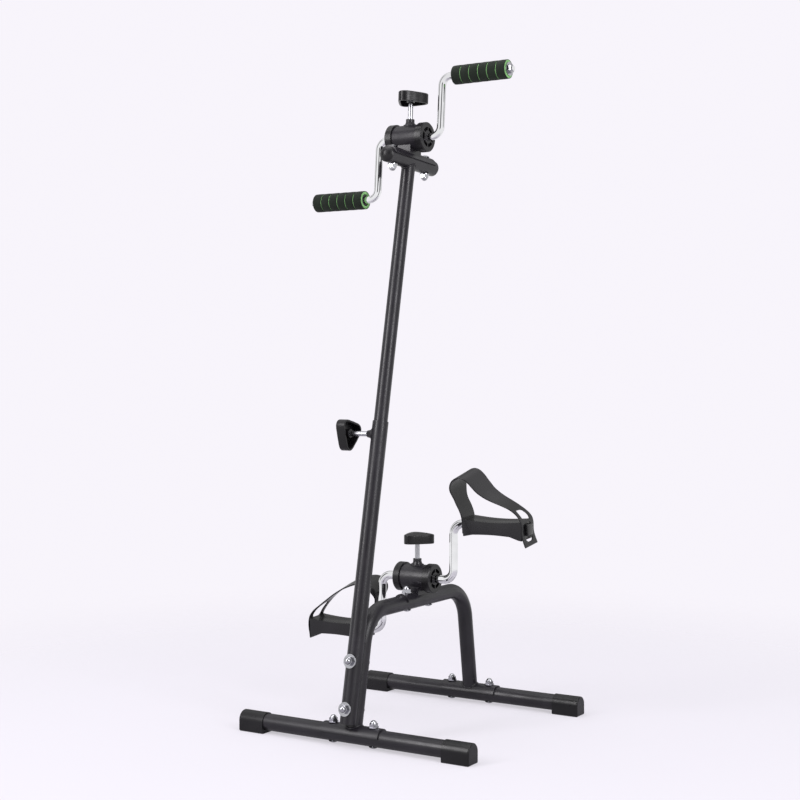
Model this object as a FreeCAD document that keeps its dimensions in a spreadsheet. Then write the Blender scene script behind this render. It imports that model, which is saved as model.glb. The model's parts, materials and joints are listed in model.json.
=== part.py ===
import FreeCAD, Part
import math
import operator
import os
import Sketcher

# Arm and leg pedal exerciser, in millimetres.
# +Z is up, X runs along the base tubes and the crank axes, -Y is the side of the upright.
# The origin is on the floor, in the middle of the footprint.

SIZES = {
    # Floor stand
    "base_length": 424.0,
    "base_spacing": 370.0,
    "base_tube_diameter": 27.0,
    "base_tube_wall": 1.5,
    "foot_drop": 3.8,
    "foot_cap_length": 47.0,
    "foot_cap_wall": 1.5,
    "foot_cap_end": 3.0,
    "foot_cap_bevel": 1.6,
    "foot_cap_rounding": 2.2,
    # Arch
    "arch_tube_diameter": 25.4,
    "arch_tube_wall": 1.5,
    "arch_height": 202.5,
    "arch_bend_radius": 58.0,
    "rear_leg_splay_angle": 8.4,
    # Saddle plates
    "saddle_thickness": 2.5,
    "saddle_half_wrap_angle": 80.0,
    "base_saddle_length": 106.0,
    "base_bolt_spacing": 74.6,
    "lower_saddle_length": 100.0,
    "lower_bolt_spacing": 67.0,
    "upper_saddle_inset": 7.0,
    "upper_bolt_inset": 19.5,
    "cradle_width": 24.0,
    "cradle_depth": 34.0,
    # Upright
    "mast_lean_angle": 11.5,
    "mast_tube_diameter": 25.4,
    "mast_foot_height": 37.0,
    "mast_tube_length": 472.0,
    "mast_nest": 6.0,
    "mast_bolt_height": 59.0,
    "mast_bolt_spacing": 73.0,
    "inner_tube_diameter": 22.2,
    "inner_tube_wall": 1.5,
    "inner_tube_overlap": 190.0,
    "slide_fit": 0.1,
    "foot_plug_flange": 6.0,
    "foot_plug_spigot": 14.0,
    # Clamp at the top of the outer mast tube
    "clamp_drop": 20.5,
    "clamp_boss_root_diameter": 15.0,
    "clamp_boss_tip_diameter": 11.0,
    "clamp_boss_length": 8.5,
    "clamp_screw_reach": 38.0,
    # Head
    "head_height": 920.0,
    "head_tube_diameter": 25.4,
    "head_tube_wall": 1.5,
    "head_tube_length": 138.0,
    "head_tube_shift": 2.5,
    "head_pitch_angle": 3.3,
    "plug_flange": 1.5,
    "plug_dome_height": 6.5,
    "plug_insert": 8.0,
    # Crank housings
    "housing_diameter": 43.0,
    "housing_wall": 2.0,
    "housing_width": 69.0,
    "bearing_diameter": 48.0,
    "bearing_rim": 12.0,
    "bearing_end": 6.0,
    "bearing_recess_diameter": 32.0,
    "bearing_recess_depth": 4.0,
    "bearing_hub_diameter": 21.0,
    "bearing_rib_width": 2.0,
    "bearing_spigot": 6.0,
    "bearing_bevel": 1.2,
    "screw_boss_diameter": 14.0,
    "screw_boss_height": 9.5,
    # Tension screws, knobs and brake
    "screw_diameter": 8.0,
    "screw_show": 25.5,
    "screw_grip": 10.0,
    "drum_diameter": 22.0,
    "drum_length": 24.0,
    "shoe_gap": 0.3,
    "shoe_thickness": 3.2,
    "shoe_length": 20.0,
    "shoe_width": 16.0,
    "knob_height": 15.5,
    "knob_corner_reach": 28.2,
    "knob_corner_radius": 8.5,
    "knob_wall": 3.0,
    "knob_rounding": 2.4,
    "knob_boss_diameter": 14.0,
    "knob_boss_recess": 2.5,
    # Lower crank
    "lower_rod_diameter": 14.0,
    "lower_arm_place": 68.8,
    "lower_crank_radius": 93.0,
    "lower_bend_radius": 18.0,
    "retainer_diameter": 19.0,
    "retainer_thickness": 2.0,
    # Upper crank
    "upper_rod_diameter": 12.0,
    "upper_arm_place": 57.4,
    "upper_crank_radius": 96.0,
    "upper_bend_radius": 15.0,
    "upper_crank_lean_angle": 1.4,
    "grip_inner_place": 80.3,
    "grip_length": 97.0,
    "grip_diameter": 30.4,
    "grip_skin": 1.8,
    "grip_groove_width": 1.4,
    "grip_groove_depth": 1.0,
    "grip_end_gap": 0.4,
    "rod_stud_length": 9.0,
    # Pedals
    "pedal_inner_place": 97.0,
    "pedal_length": 105.6,
    "pedal_width": 42.0,
    "pedal_end_rise": 12.0,
    "pedal_end_drop": 17.5,
    "pedal_tread_sag": 3.0,
    "pedal_belly_rise": 3.0,
    "pedal_belly_sag": 1.0,
    "pedal_end_foot": 9.0,
    "pedal_wall": 2.6,
    "pedal_spine_width": 22.0,
    "pedal_cup_depth": 12.0,
    "pedal_corner": 1.6,
    "right_pedal_pitch_angle": 5.0,
    "left_pedal_pitch_angle": 4.0,
    "peg_width": 18.0,
    "peg_top": 6.5,
    "peg_bottom": 11.5,
    "peg_reach": 6.0,
    # Pedal straps
    "strap_thickness": 2.2,
    "strap_height": 90.0,
    "strap_root_drop": 12.0,
    "strap_eye_clearance": 0.5,
    "strap_knee_rise": 10.0,
    "strap_knee_radius": 20.0,
    "strap_tail_drop": 11.0,
    "strap_tail_flare": 6.5,
    "strap_right_end_drop": 28.0,
    "strap_left_end_drop": 21.0,
    "strap_narrow_width": 42.0,
    "strap_wide_width": 57.0,
    "strap_widening_start": 20.0,
    "strap_widening_end": 58.0,
    "strap_slot_width": 23.0,
    "strap_bar_bottom": 9.0,
    "strap_bar_height": 3.5,
    "strap_slot_top": 30.5,
    "strap_slot_bottom": 18.0,
    "strap_slot_inset": 20.0,
    # Fasteners
    "bolt_diameter": 8.0,
    "bolt_head_diameter": 15.0,
    "bolt_head_height": 2.8,
    "nut_across_flats": 13.0,
    "nut_hex_height": 4.5,
    "nut_dome_radius": 5.4,
    "washer_thickness": 1.5,
    "small_washer_diameter": 16.0,
    "large_washer_diameter": 22.0,
    # Fits
    "seat_gap": 0.05,
    "running_fit": 0.08,
    "cut_overrun": 2.0,
}

# Corners of the straps between the pedal's two ends: how far along the pedal and how far up the
# strap's height each lies, and its bend radius, then the same for the hook over the outer end
RIGHT_STRAP_SHARES = [(-0.213, 0.907, 0.165), (0.095, 0.935, 0.22), (0.436, 0.512, 0.78)]
RIGHT_HOOK_SHARES = (0.215, 0.15)
LEFT_STRAP_SHARES = [(-0.21, 0.93, 0.17), (0.104, 0.955, 0.33), (0.66, 0.51, 0.6)]
LEFT_HOOK_SHARES = (0.275, 0.17)
GRIP_BANDS = 6
BEARING_RIBS = 6
KNOB_CORNERS = 3
FLAT_TOLERANCE = 1e-6
OPERATIONS = {"+": operator.add, "-": operator.sub, "*": operator.mul, "/": operator.truediv}
NODES = {}


class Size:
    """A number together with the spreadsheet formula that gives it."""

    def __init__(self, number, formula):
        self.number = number
        self.formula = formula

    def __add__(self, other):
        return combine(self, "+", other)

    def __radd__(self, other):
        return combine(other, "+", self)

    def __sub__(self, other):
        return combine(self, "-", other)

    def __rsub__(self, other):
        return combine(other, "-", self)

    def __mul__(self, other):
        return combine(self, "*", other)

    def __rmul__(self, other):
        return combine(other, "*", self)

    def __truediv__(self, other):
        return combine(self, "/", other)

    def __neg__(self):
        return combine(0, "-", self)


def number_of(value):
    return value.number if isinstance(value, Size) else value


def formula_of(value):
    return value.formula if isinstance(value, Size) else repr(value)


def combine(left, sign, right):
    number = OPERATIONS[sign](number_of(left), number_of(right))
    return Size(number, f"({formula_of(left)} {sign} {formula_of(right)})")


def sine(angle):
    return Size(math.sin(math.radians(number_of(angle))), f"sin({formula_of(angle)} * 1 deg)")


def cosine(angle):
    return Size(math.cos(math.radians(number_of(angle))), f"cos({formula_of(angle)} * 1 deg)")


def tangent(angle):
    return Size(math.tan(math.radians(number_of(angle))), f"tan({formula_of(angle)} * 1 deg)")


class Sheet:
    """The driving dimensions, by name."""

    def __init__(self, doc):
        sheet = doc.addObject("Spreadsheet::Sheet", "sizes")
        for row, (name, value) in enumerate(SIZES.items(), 1):
            sheet.set(f"A{row}", name)
            sheet.set(f"B{row}", str(value))
            sheet.setAlias(f"B{row}", name)
            setattr(self, name, Size(value, f"sizes.{name}"))
        doc.recompute()


doc = FreeCAD.newDocument("pedal_exerciser")
S = Sheet(doc)


# Derived places of the frame

BASE_RADIUS = S.base_tube_diameter / 2
BASE_AXIS_HEIGHT = S.foot_drop + BASE_RADIUS
CAP_RADIUS = BASE_RADIUS + S.foot_cap_wall
ARCH_RADIUS = S.arch_tube_diameter / 2
MAST_RADIUS = S.mast_tube_diameter / 2
INNER_TUBE_RADIUS = S.inner_tube_diameter / 2
HEAD_RADIUS = S.head_tube_diameter / 2
HOUSING_RADIUS = S.housing_diameter / 2
BOLT_RADIUS = S.bolt_diameter / 2
SCREW_RADIUS = S.screw_diameter / 2
MAST_OFFSET = MAST_RADIUS + ARCH_RADIUS - S.mast_nest
# The mast axis at floor level, measured from the front base tube
MAST_FLOOR_SHIFT = -(MAST_OFFSET / cosine(S.mast_lean_angle)) - BASE_AXIS_HEIGHT * tangent(S.mast_lean_angle)
NUT_STACK = MAST_RADIUS + S.seat_gap + S.washer_thickness + S.nut_hex_height
FRONT_REACH = (
    MAST_FLOOR_SHIFT
    + S.mast_bolt_height * tangent(S.mast_lean_angle)
    - NUT_STACK * cosine(S.mast_lean_angle)
    - S.nut_dome_radius
)
REAR_REACH = S.base_spacing + CAP_RADIUS
FRONT_Y = -(FRONT_REACH + REAR_REACH) / 2
REAR_Y = FRONT_Y + S.base_spacing
MAST_FLOOR_Y = FRONT_Y + MAST_FLOOR_SHIFT
ARCH_RISE = S.arch_height - BASE_AXIS_HEIGHT
FRONT_CORNER_Y = FRONT_Y + ARCH_RISE * tangent(S.mast_lean_angle)
REAR_CORNER_Y = REAR_Y - ARCH_RISE * tangent(S.rear_leg_splay_angle)
LOWER_Y = (FRONT_CORNER_Y + REAR_CORNER_Y) / 2
LOWER_AXIS_HEIGHT = S.arch_height + ARCH_RADIUS + S.saddle_thickness + HOUSING_RADIUS
HEAD_Y = MAST_FLOOR_Y + S.head_height * tangent(S.mast_lean_angle)
UPPER_AXIS_RISE = HEAD_RADIUS + S.saddle_thickness + HOUSING_RADIUS
PEDAL_OUTER_PLACE = S.pedal_inner_place + S.pedal_length
GRIP_OUTER_PLACE = S.grip_inner_place + S.grip_length


# Placements

UP = FreeCAD.Vector(0, 0, 1)
ALONG_X = FreeCAD.Rotation(FreeCAD.Vector(0, 1, 0), 90)
ALONG_MINUS_X = FreeCAD.Rotation(FreeCAD.Vector(0, 1, 0), -90)
ALONG_Y = FreeCAD.Rotation(FreeCAD.Vector(1, 0, 0), -90)
ALONG_MINUS_Y = FreeCAD.Rotation(FreeCAD.Vector(1, 0, 0), 90)
DOWN = FreeCAD.Rotation(FreeCAD.Vector(1, 0, 0), 180)
STRAIGHT = FreeCAD.Rotation()


def point(x, y, z):
    return FreeCAD.Vector(number_of(x), number_of(y), number_of(z))


def at(x, y, z, rotation=STRAIGHT):
    return FreeCAD.Placement(point(x, y, z), rotation)


def turned_about_x(angle):
    return FreeCAD.Rotation(FreeCAD.Vector(1, 0, 0), number_of(angle))


def turned_about_z(angle):
    return FreeCAD.Rotation(UP, number_of(angle))


def on_mast(height, rotation=STRAIGHT):
    """A placement on the mast axis at a height, leaning with the mast."""
    y = MAST_FLOOR_Y + height * tangent(S.mast_lean_angle)
    return at(0, y, height, turned_about_x(-S.mast_lean_angle)) * FreeCAD.Placement(point(0, 0, 0), rotation)


def on_head(x, y, z, rotation=STRAIGHT):
    """A placement from the middle of the cross tube, pitched with the head."""
    return at(0, HEAD_Y, S.head_height, turned_about_x(-S.head_pitch_angle)) * at(x, y, z, rotation)


# Document helpers


def bind(thing, name, size):
    """Set a property, tied to the spreadsheet where the value comes from there."""
    setattr(thing, name, number_of(size))
    if isinstance(size, Size):
        thing.setExpression(name, size.formula)


def keep(node, thing, placement=None):
    """Register a finished sub-part under its name."""
    if placement is not None:
        thing.Placement = placement
    thing.Label = node
    NODES[node] = thing
    return thing


def add(kind, name, placement=None, **sizes):
    """A Part primitive with its sizes bound."""
    thing = doc.addObject(kind, name)
    for key, size in sizes.items():
        bind(thing, key, size)
    if placement is not None:
        thing.Placement = placement
    return thing


def cylinder(name, radius, length, placement=None):
    return add("Part::Cylinder", name, placement, Radius=radius, Height=length)


def box(name, length, width, height, placement=None):
    """A block centred on its placement in all three directions."""
    centre = FreeCAD.Placement(point(-length / 2, -width / 2, -height / 2), STRAIGHT)
    whole = centre if placement is None else placement * centre
    return add("Part::Box", name, whole, Length=length, Width=width, Height=height)


def fuse(name, *parts):
    thing = doc.addObject("Part::MultiFuse", name)
    thing.Shapes = list(parts)
    return thing


def compound(name, *parts):
    thing = doc.addObject("Part::Compound", name)
    thing.Links = list(parts)
    return thing


def cut(name, base, *tools):
    thing = doc.addObject("Part::Cut", name)
    thing.Base = base
    thing.Tool = tools[0] if len(tools) == 1 else fuse(name + "_tools", *tools)
    return thing


def common(name, *parts):
    thing = doc.addObject("Part::MultiCommon", name)
    thing.Shapes = list(parts)
    return thing


def mirrored(name, source):
    """A mirror image across the plane X = 0."""
    thing = doc.addObject("Part::Mirroring", name)
    thing.Source = source
    thing.Normal = FreeCAD.Vector(1, 0, 0)
    return thing


# Sketch helpers


def new_body(name):
    return doc.addObject("PartDesign::Body", name)


def new_sketch(body, plane, name):
    sketch = body.newObject("Sketcher::SketchObject", name)
    support = next(item for item in body.Origin.OriginFeatures if item.Role == plane)
    sketch.AttachmentSupport = [(support, "")]
    sketch.MapMode = "FlatFace"
    return sketch


def flat(place):
    return FreeCAD.Vector(number_of(place[0]), number_of(place[1]), 0)


def constrain(sketch, kind, *details, size):
    index = sketch.addConstraint(Sketcher.Constraint(kind, *details, number_of(size)))
    if isinstance(size, Size):
        sketch.setExpression(f"Constraints[{index}]", size.formula)


def hold(sketch, geometry, end, place):
    """Hold a point of the sketch by its two distances from the sketch's origin."""
    for kind, axis, size in (("DistanceX", -2, place[0]), ("DistanceY", -1, place[1])):
        if isinstance(size, Size):
            constrain(sketch, kind, -1, 1, geometry, end, size=size)
        else:
            sketch.addConstraint(Sketcher.Constraint("PointOnObject", geometry, end, axis))


def draw_circle(sketch, radius, centre=(0, 0)):
    geometry = sketch.addGeometry(Part.Circle(flat(centre), UP, number_of(radius)), False)
    constrain(sketch, "Radius", geometry, size=radius)
    hold(sketch, geometry, 3, centre)


def draw_outline(sketch, places):
    """A closed outline.

    A place is (x, y), or (x, y, radius) where the edge that leaves it is an arc that turns
    to the left, seen along the outline.
    """
    count = len(places)
    ends = []
    for index, place in enumerate(places):
        start = flat(place)
        end = flat(places[(index + 1) % count])
        if len(place) == 2:
            geometry = sketch.addGeometry(Part.LineSegment(start, end), False)
        else:
            chord = end - start
            radius = number_of(place[2])
            left = FreeCAD.Vector(-chord.y, chord.x, 0).normalize()
            rise = math.sqrt(max(radius**2 - (chord.Length / 2) ** 2, 0))
            centre = (start + end) / 2 + left * rise
            middle = centre - left * radius
            geometry = sketch.addGeometry(Part.Arc(start, middle, end), False)
        ends.append(geometry)
    for index, place in enumerate(places):
        sketch.addConstraint(Sketcher.Constraint("Coincident", ends[index], 2, ends[(index + 1) % count], 1))
        hold(sketch, ends[index], 1, place)
        if len(place) == 3:
            constrain(sketch, "Radius", ends[index], size=place[2])


def draw_bent_path(sketch, corners, bend_radii):
    """Straight runs joined by tangent bends, each corner held by a construction point."""
    places = [flat(corner) for corner in corners]
    starts = [places[0]]
    ends = []
    arcs = []
    for index, bend in enumerate(bend_radii, 1):
        radius = number_of(bend)
        inward = (places[index - 1] - places[index]).normalize()
        outward = (places[index + 1] - places[index]).normalize()
        half_turn = (math.pi - inward.getAngle(outward)) / 2
        reach = radius * math.tan(half_turn)
        before = places[index] + inward * reach
        after = places[index] + outward * reach
        towards = (inward + outward).normalize()
        middle = places[index] + towards * (radius / math.cos(half_turn) - radius)
        ends.append(before)
        starts.append(after)
        arcs.append((before, middle, after))
    ends.append(places[-1])
    lines = [sketch.addGeometry(Part.LineSegment(a, b), False) for a, b in zip(starts, ends)]
    for index, (arc, bend) in enumerate(zip(arcs, bend_radii)):
        geometry = sketch.addGeometry(Part.Arc(*arc), False)
        counter_clockwise = (arc[1] - arc[0]).cross(arc[2] - arc[1]).z > 0
        first, last = (1, 2) if counter_clockwise else (2, 1)
        sketch.addConstraint(Sketcher.Constraint("Tangent", lines[index], 2, geometry, first))
        sketch.addConstraint(Sketcher.Constraint("Tangent", geometry, last, lines[index + 1], 1))
        constrain(sketch, "Radius", geometry, size=bend)
        corner = sketch.addGeometry(Part.Point(places[index + 1]), True)
        sketch.addConstraint(Sketcher.Constraint("PointOnObject", corner, 1, lines[index]))
        sketch.addConstraint(Sketcher.Constraint("PointOnObject", corner, 1, lines[index + 1]))
        hold(sketch, corner, 1, corners[index + 1])
    hold(sketch, lines[0], 1, corners[0])
    hold(sketch, lines[-1], 2, corners[-1])
    return len(lines) + len(arcs)


# Solid helpers


def ring(name, outer, inner, length, plane="XY_Plane"):
    """A straight tube from its plane along that plane's normal."""
    body = new_body(name)
    sketch = new_sketch(body, plane, name + "_section")
    draw_circle(sketch, outer)
    draw_circle(sketch, inner)
    pad = body.newObject("PartDesign::Pad", name + "_pad")
    pad.Profile = sketch
    bind(pad, "Length", length)
    return body


def slab(name, plane, places, length, symmetric=False):
    """An outline padded to a length."""
    body = new_body(name)
    sketch = new_sketch(body, plane, name + "_outline")
    draw_outline(sketch, places)
    pad = body.newObject("PartDesign::Pad", name + "_pad")
    pad.Profile = sketch
    if symmetric:
        pad.SideType = "Symmetric"
    bind(pad, "Length", length)
    return body


def round_ends(body, radius, *directions):
    """Round the edges of the flat faces that look in the given directions."""
    doc.recompute()
    base = body.Tip
    names = []
    for number, face in enumerate(base.Shape.Faces, 1):
        if face.Surface.TypeId != "Part::GeomPlane":
            continue
        middle = face.Surface.parameter(face.CenterOfMass)
        normal = face.normalAt(*middle)
        if any(normal.distanceToPoint(direction) < FLAT_TOLERANCE for direction in directions):
            names.append(f"Face{number}")
    fillet = body.newObject("PartDesign::Fillet", body.Name + "_rounding")
    fillet.Base = (base, names)
    bind(fillet, "Radius", radius)
    return body


def turned(name, places):
    """A solid of revolution about Z, from an outline in the XZ plane."""
    body = new_body(name)
    sketch = new_sketch(body, "XZ_Plane", name + "_profile")
    draw_outline(sketch, places)
    revolution = body.newObject("PartDesign::Revolution", name + "_turn")
    revolution.Profile = sketch
    revolution.ReferenceAxis = (sketch, ["V_Axis"])
    revolution.Angle = 360
    return body


def pipe(body, name, section, plane, corners, bend_radii):
    """A section swept along a bent path inside a body."""
    path = new_sketch(body, plane, name + "_path")
    edge_count = draw_bent_path(path, corners, bend_radii)
    sweep = body.newObject("PartDesign::AdditivePipe", name + "_sweep")
    sweep.Profile = section
    sweep.Spine = (path, [f"Edge{number}" for number in range(1, edge_count + 1)])
    return sweep


# Fasteners


def bolt(name, length):
    """A domed bolt: the head lies below Z = 0 and the shank runs up."""
    head_radius = S.bolt_head_diameter / 2
    height = S.bolt_head_height
    dome = (head_radius * head_radius + height * height) / (2 * height)
    return turned(
        name,
        [(0, -height, dome), (head_radius, 0), (BOLT_RADIUS, 0), (BOLT_RADIUS, length), (0, length)],
    )


def washer(name, diameter):
    return ring(name, diameter / 2, BOLT_RADIUS + S.seat_gap, S.washer_thickness)


def dome_nut(name):
    """A hexagon nut closed by a dome, standing on Z = 0."""
    corner_radius = S.nut_across_flats / 2 / cosine(Size(30, "30"))
    hexagon = add("Part::Prism", name + "_hexagon", Circumradius=corner_radius, Height=S.nut_hex_height)
    hexagon.Polygon = 6
    dome = add("Part::Sphere", name + "_dome", at(0, 0, S.nut_hex_height), Radius=S.nut_dome_radius)
    dome.Angle1 = 0
    bore = cylinder(name + "_bore", BOLT_RADIUS + S.seat_gap, S.nut_hex_height + S.seat_gap)
    return cut(name, fuse(name + "_blank", hexagon, dome), bore)


def fastener_set(prefix, places, grip_length, washer_diameter):
    """Bolts, washers and dome nuts of one joint, one node of each kind.

    Each place is where the bolt's head meets the work, with the shank pointing to the nut.
    """
    shank = grip_length + S.washer_thickness + S.nut_hex_height
    bolts = []
    washers = []
    nuts = []
    for number, place in enumerate(places, 1):
        washer_place = place * at(0, 0, grip_length)
        nut_place = place * at(0, 0, grip_length + S.washer_thickness)
        for group, thing, where in (
            (bolts, bolt(f"{prefix}_bolt_{number}", shank), place),
            (washers, washer(f"{prefix}_washer_{number}", washer_diameter), washer_place),
            (nuts, dome_nut(f"{prefix}_nut_{number}"), nut_place),
        ):
            thing.Placement = where
            group.append(thing)
    keep(prefix + "_bolts", compound(prefix + "_bolt_set", *bolts))
    keep(prefix + "_washers", compound(prefix + "_washer_set", *washers))
    keep(prefix + "_nuts", compound(prefix + "_nut_set", *nuts))


def bolt_holes(name, places, grip_length):
    """Clearance holes for bolts at the given places."""
    length = grip_length + 2 * S.cut_overrun
    radius = BOLT_RADIUS + S.seat_gap
    return [
        cylinder(f"{name}_{number}", radius, length, place * at(0, 0, -S.cut_overrun))
        for number, place in enumerate(places, 1)
    ]


# Floor stand


def base_bolt_places(y):
    height = BASE_AXIS_HEIGHT - BASE_RADIUS
    return [at(side * S.base_bolt_spacing / 2, y, height) for side in (-1, 1)]


BASE_GRIP_LENGTH = S.base_tube_diameter + S.seat_gap + S.saddle_thickness


def base_tube(node, y):
    length = S.base_length - 2 * S.foot_cap_end
    tube = ring(node + "_tube", BASE_RADIUS, BASE_RADIUS - S.base_tube_wall, length, "YZ_Plane")
    tube.Placement = at(-length / 2, y, BASE_AXIS_HEIGHT)
    keep(node, cut(node, tube, *bolt_holes(node + "_hole", base_bolt_places(y), BASE_GRIP_LENGTH)))


def foot_cap(node, side, y):
    """A cap with a flat foot, upright sides and a round top, over the end of a base tube."""
    bevel = S.foot_cap_bevel
    outline = [
        (-CAP_RADIUS + bevel, -BASE_AXIS_HEIGHT),
        (CAP_RADIUS - bevel, -BASE_AXIS_HEIGHT),
        (CAP_RADIUS, -BASE_AXIS_HEIGHT + bevel),
        (CAP_RADIUS, 0, CAP_RADIUS),
        (0, CAP_RADIUS, CAP_RADIUS),
        (-CAP_RADIUS, 0),
        (-CAP_RADIUS, -BASE_AXIS_HEIGHT + bevel),
    ]
    block = slab(node + "_block", "YZ_Plane", outline, S.foot_cap_length)
    round_ends(block, S.foot_cap_rounding, FreeCAD.Vector(1, 0, 0))
    bore_length = S.foot_cap_length - S.foot_cap_end
    bore = cylinder(node + "_bore", BASE_RADIUS + S.seat_gap, bore_length, at(0, 0, 0, ALONG_X))
    rotation = STRAIGHT if side > 0 else turned_about_z(180)
    start = S.base_length / 2 - S.foot_cap_length
    keep(node, cut(node, block, bore), at(side * start, y, BASE_AXIS_HEIGHT, rotation))


def half_shell(name, inner, length, overhang=0):
    """A plate bent over a tube that runs along X at the origin."""
    outer = inner + S.saddle_thickness
    wrap = S.saddle_half_wrap_angle
    outline = [
        (outer * sine(wrap), outer * cosine(wrap), outer),
        (-outer * sine(wrap), outer * cosine(wrap)),
        (-inner * sine(wrap), inner * cosine(wrap)),
        (inner * sine(wrap), inner * cosine(wrap)),
    ]
    shell = slab(name + "_blank", "YZ_Plane", outline, length, symmetric=True)
    hollow = cylinder(name + "_hollow", inner, length + 2 * S.cut_overrun)
    hollow.Placement = at(-length / 2 - S.cut_overrun, 0, 0, ALONG_X)
    return cut(name + "_shell", shell, hollow)


def base_saddle(node, y):
    shell = half_shell(node, BASE_RADIUS + S.seat_gap, S.base_saddle_length)
    shell.Placement = at(0, y, BASE_AXIS_HEIGHT)
    keep(node, cut(node, shell, *bolt_holes(node + "_hole", base_bolt_places(y), BASE_GRIP_LENGTH)))


# Arch


def arch_tube_body(name, outer, inner=None):
    """The arch swept from the middle of its top run down both legs."""
    body = new_body(name)
    section = new_sketch(body, "XZ_Plane", name + "_section")
    section.AttachmentOffset = FreeCAD.Placement(point(0, 0, -LOWER_Y), STRAIGHT)
    draw_circle(section, outer, (0, S.arch_height))
    if inner is not None:
        draw_circle(section, inner, (0, S.arch_height))
    middle = (LOWER_Y, S.arch_height)
    for leg, corner_y, foot_y in (("front", FRONT_CORNER_Y, FRONT_Y), ("rear", REAR_CORNER_Y, REAR_Y)):
        corners = [middle, (corner_y, S.arch_height), (foot_y, BASE_AXIS_HEIGHT)]
        pipe(body, f"{name}_{leg}", section, "YZ_Plane", corners, [S.arch_bend_radius])
    return body


def mast_bolt_places():
    """Where each bolt head meets the back of the front leg, with the shank to the front."""
    head_depth = MAST_OFFSET + ARCH_RADIUS + S.seat_gap
    heights = (S.mast_bolt_height, S.mast_bolt_height + S.mast_bolt_spacing * cosine(S.mast_lean_angle))
    return [on_mast(height) * at(0, head_depth, 0, ALONG_MINUS_Y) for height in heights]


MAST_GRIP_LENGTH = MAST_RADIUS + MAST_OFFSET + ARCH_RADIUS + 2 * S.seat_gap


def lower_bolt_places():
    height = S.arch_height - ARCH_RADIUS - S.seat_gap
    return [at(0, LOWER_Y + side * S.lower_bolt_spacing / 2, height) for side in (-1, 1)]


LOWER_GRIP_LENGTH = S.arch_tube_diameter + 2 * S.seat_gap + S.saddle_thickness


def arch_tube():
    tube = arch_tube_body("arch_sweep", ARCH_RADIUS, ARCH_RADIUS - S.arch_tube_wall)
    seat_radius = BASE_RADIUS + 2 * S.seat_gap + S.saddle_thickness
    seat_length = S.base_saddle_length
    seats = []
    for name, y in (("front", FRONT_Y), ("rear", REAR_Y)):
        start = at(-seat_length / 2, y, BASE_AXIS_HEIGHT, ALONG_X)
        seats.append(cylinder("arch_seat_" + name, seat_radius, seat_length, start))
    holes = bolt_holes("arch_mast_hole", mast_bolt_places(), MAST_GRIP_LENGTH)
    holes += bolt_holes("arch_housing_hole", lower_bolt_places(), LOWER_GRIP_LENGTH)
    keep("arch_tube", cut("arch_tube", tube, *seats, *holes))


# Upright


def mast_lower_tube():
    inner = INNER_TUBE_RADIUS + S.slide_fit
    tube = ring("mast_outer_sweep", MAST_RADIUS, inner, S.mast_tube_length)
    tube.Placement = on_mast(S.mast_foot_height)
    leg_space = arch_tube_body("leg_space", ARCH_RADIUS + S.seat_gap)
    holes = bolt_holes("mast_hole", mast_bolt_places(), MAST_GRIP_LENGTH)
    clamp_hole = cylinder(
        "clamp_hole",
        SCREW_RADIUS + S.running_fit,
        MAST_RADIUS + S.cut_overrun,
        clamp_place() * at(0, 0, 0, ALONG_MINUS_X),
    )
    keep("mast_lower_tube", cut("mast_lower_tube", tube, leg_space, clamp_hole, *holes))


CLAMP_HEIGHT = S.mast_foot_height + (S.mast_tube_length - S.clamp_drop) * cosine(S.mast_lean_angle)


def clamp_place():
    return on_mast(CLAMP_HEIGHT)


def mast_clamp_boss():
    """A threaded boss welded to the side of the outer tube."""
    bore = SCREW_RADIUS + S.running_fit
    reach = MAST_RADIUS + S.clamp_boss_length
    cone = turned(
        "clamp_boss_cone",
        [
            (bore, 0),
            (S.clamp_boss_root_diameter / 2, 0),
            (S.clamp_boss_root_diameter / 2, MAST_RADIUS),
            (S.clamp_boss_tip_diameter / 2, reach),
            (bore, reach),
        ],
    )
    mast_space = cylinder(
        "clamp_mast_space",
        MAST_RADIUS + S.seat_gap,
        S.clamp_boss_root_diameter + 2 * S.cut_overrun,
        at(0, 0, 0, ALONG_X) * at(0, 0, -S.clamp_boss_root_diameter / 2 - S.cut_overrun),
    )
    boss = cut("mast_clamp_boss", cone, mast_space)
    keep("mast_clamp_boss", boss, clamp_place() * at(0, 0, 0, ALONG_MINUS_X))


def mast_upper_tube():
    """The inner tube, its top cut to the round of the head's cross tube."""
    bottom = S.mast_foot_height + (S.mast_tube_length - S.inner_tube_overlap) * cosine(S.mast_lean_angle)
    length = (S.head_height - bottom) / cosine(S.mast_lean_angle)
    tube = ring("mast_inner_sweep", INNER_TUBE_RADIUS, INNER_TUBE_RADIUS - S.inner_tube_wall, length)
    tube.Placement = on_mast(bottom)
    seat = cylinder(
        "head_seat",
        HEAD_RADIUS + S.seat_gap,
        S.head_tube_length,
        on_head(0, -S.head_tube_length / 2, 0, ALONG_Y),
    )
    keep("mast_upper_tube", cut("mast_upper_tube", tube, seat))


def mast_foot_plug():
    """The plastic plug in the foot of the inner tube, which slides in the outer one."""
    bottom = S.mast_foot_height + (S.mast_tube_length - S.inner_tube_overlap) * cosine(S.mast_lean_angle)
    spigot = INNER_TUBE_RADIUS - S.inner_tube_wall - S.running_fit
    plug = turned(
        "mast_foot_plug",
        [
            (0, -S.foot_plug_flange),
            (INNER_TUBE_RADIUS, -S.foot_plug_flange),
            (INNER_TUBE_RADIUS, -S.seat_gap),
            (spigot, -S.seat_gap),
            (spigot, S.foot_plug_spigot),
            (0, S.foot_plug_spigot),
        ],
    )
    keep("mast_foot_plug", plug, on_mast(bottom))


# Crank housings, each built with its crank axis along X through the local origin


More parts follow.
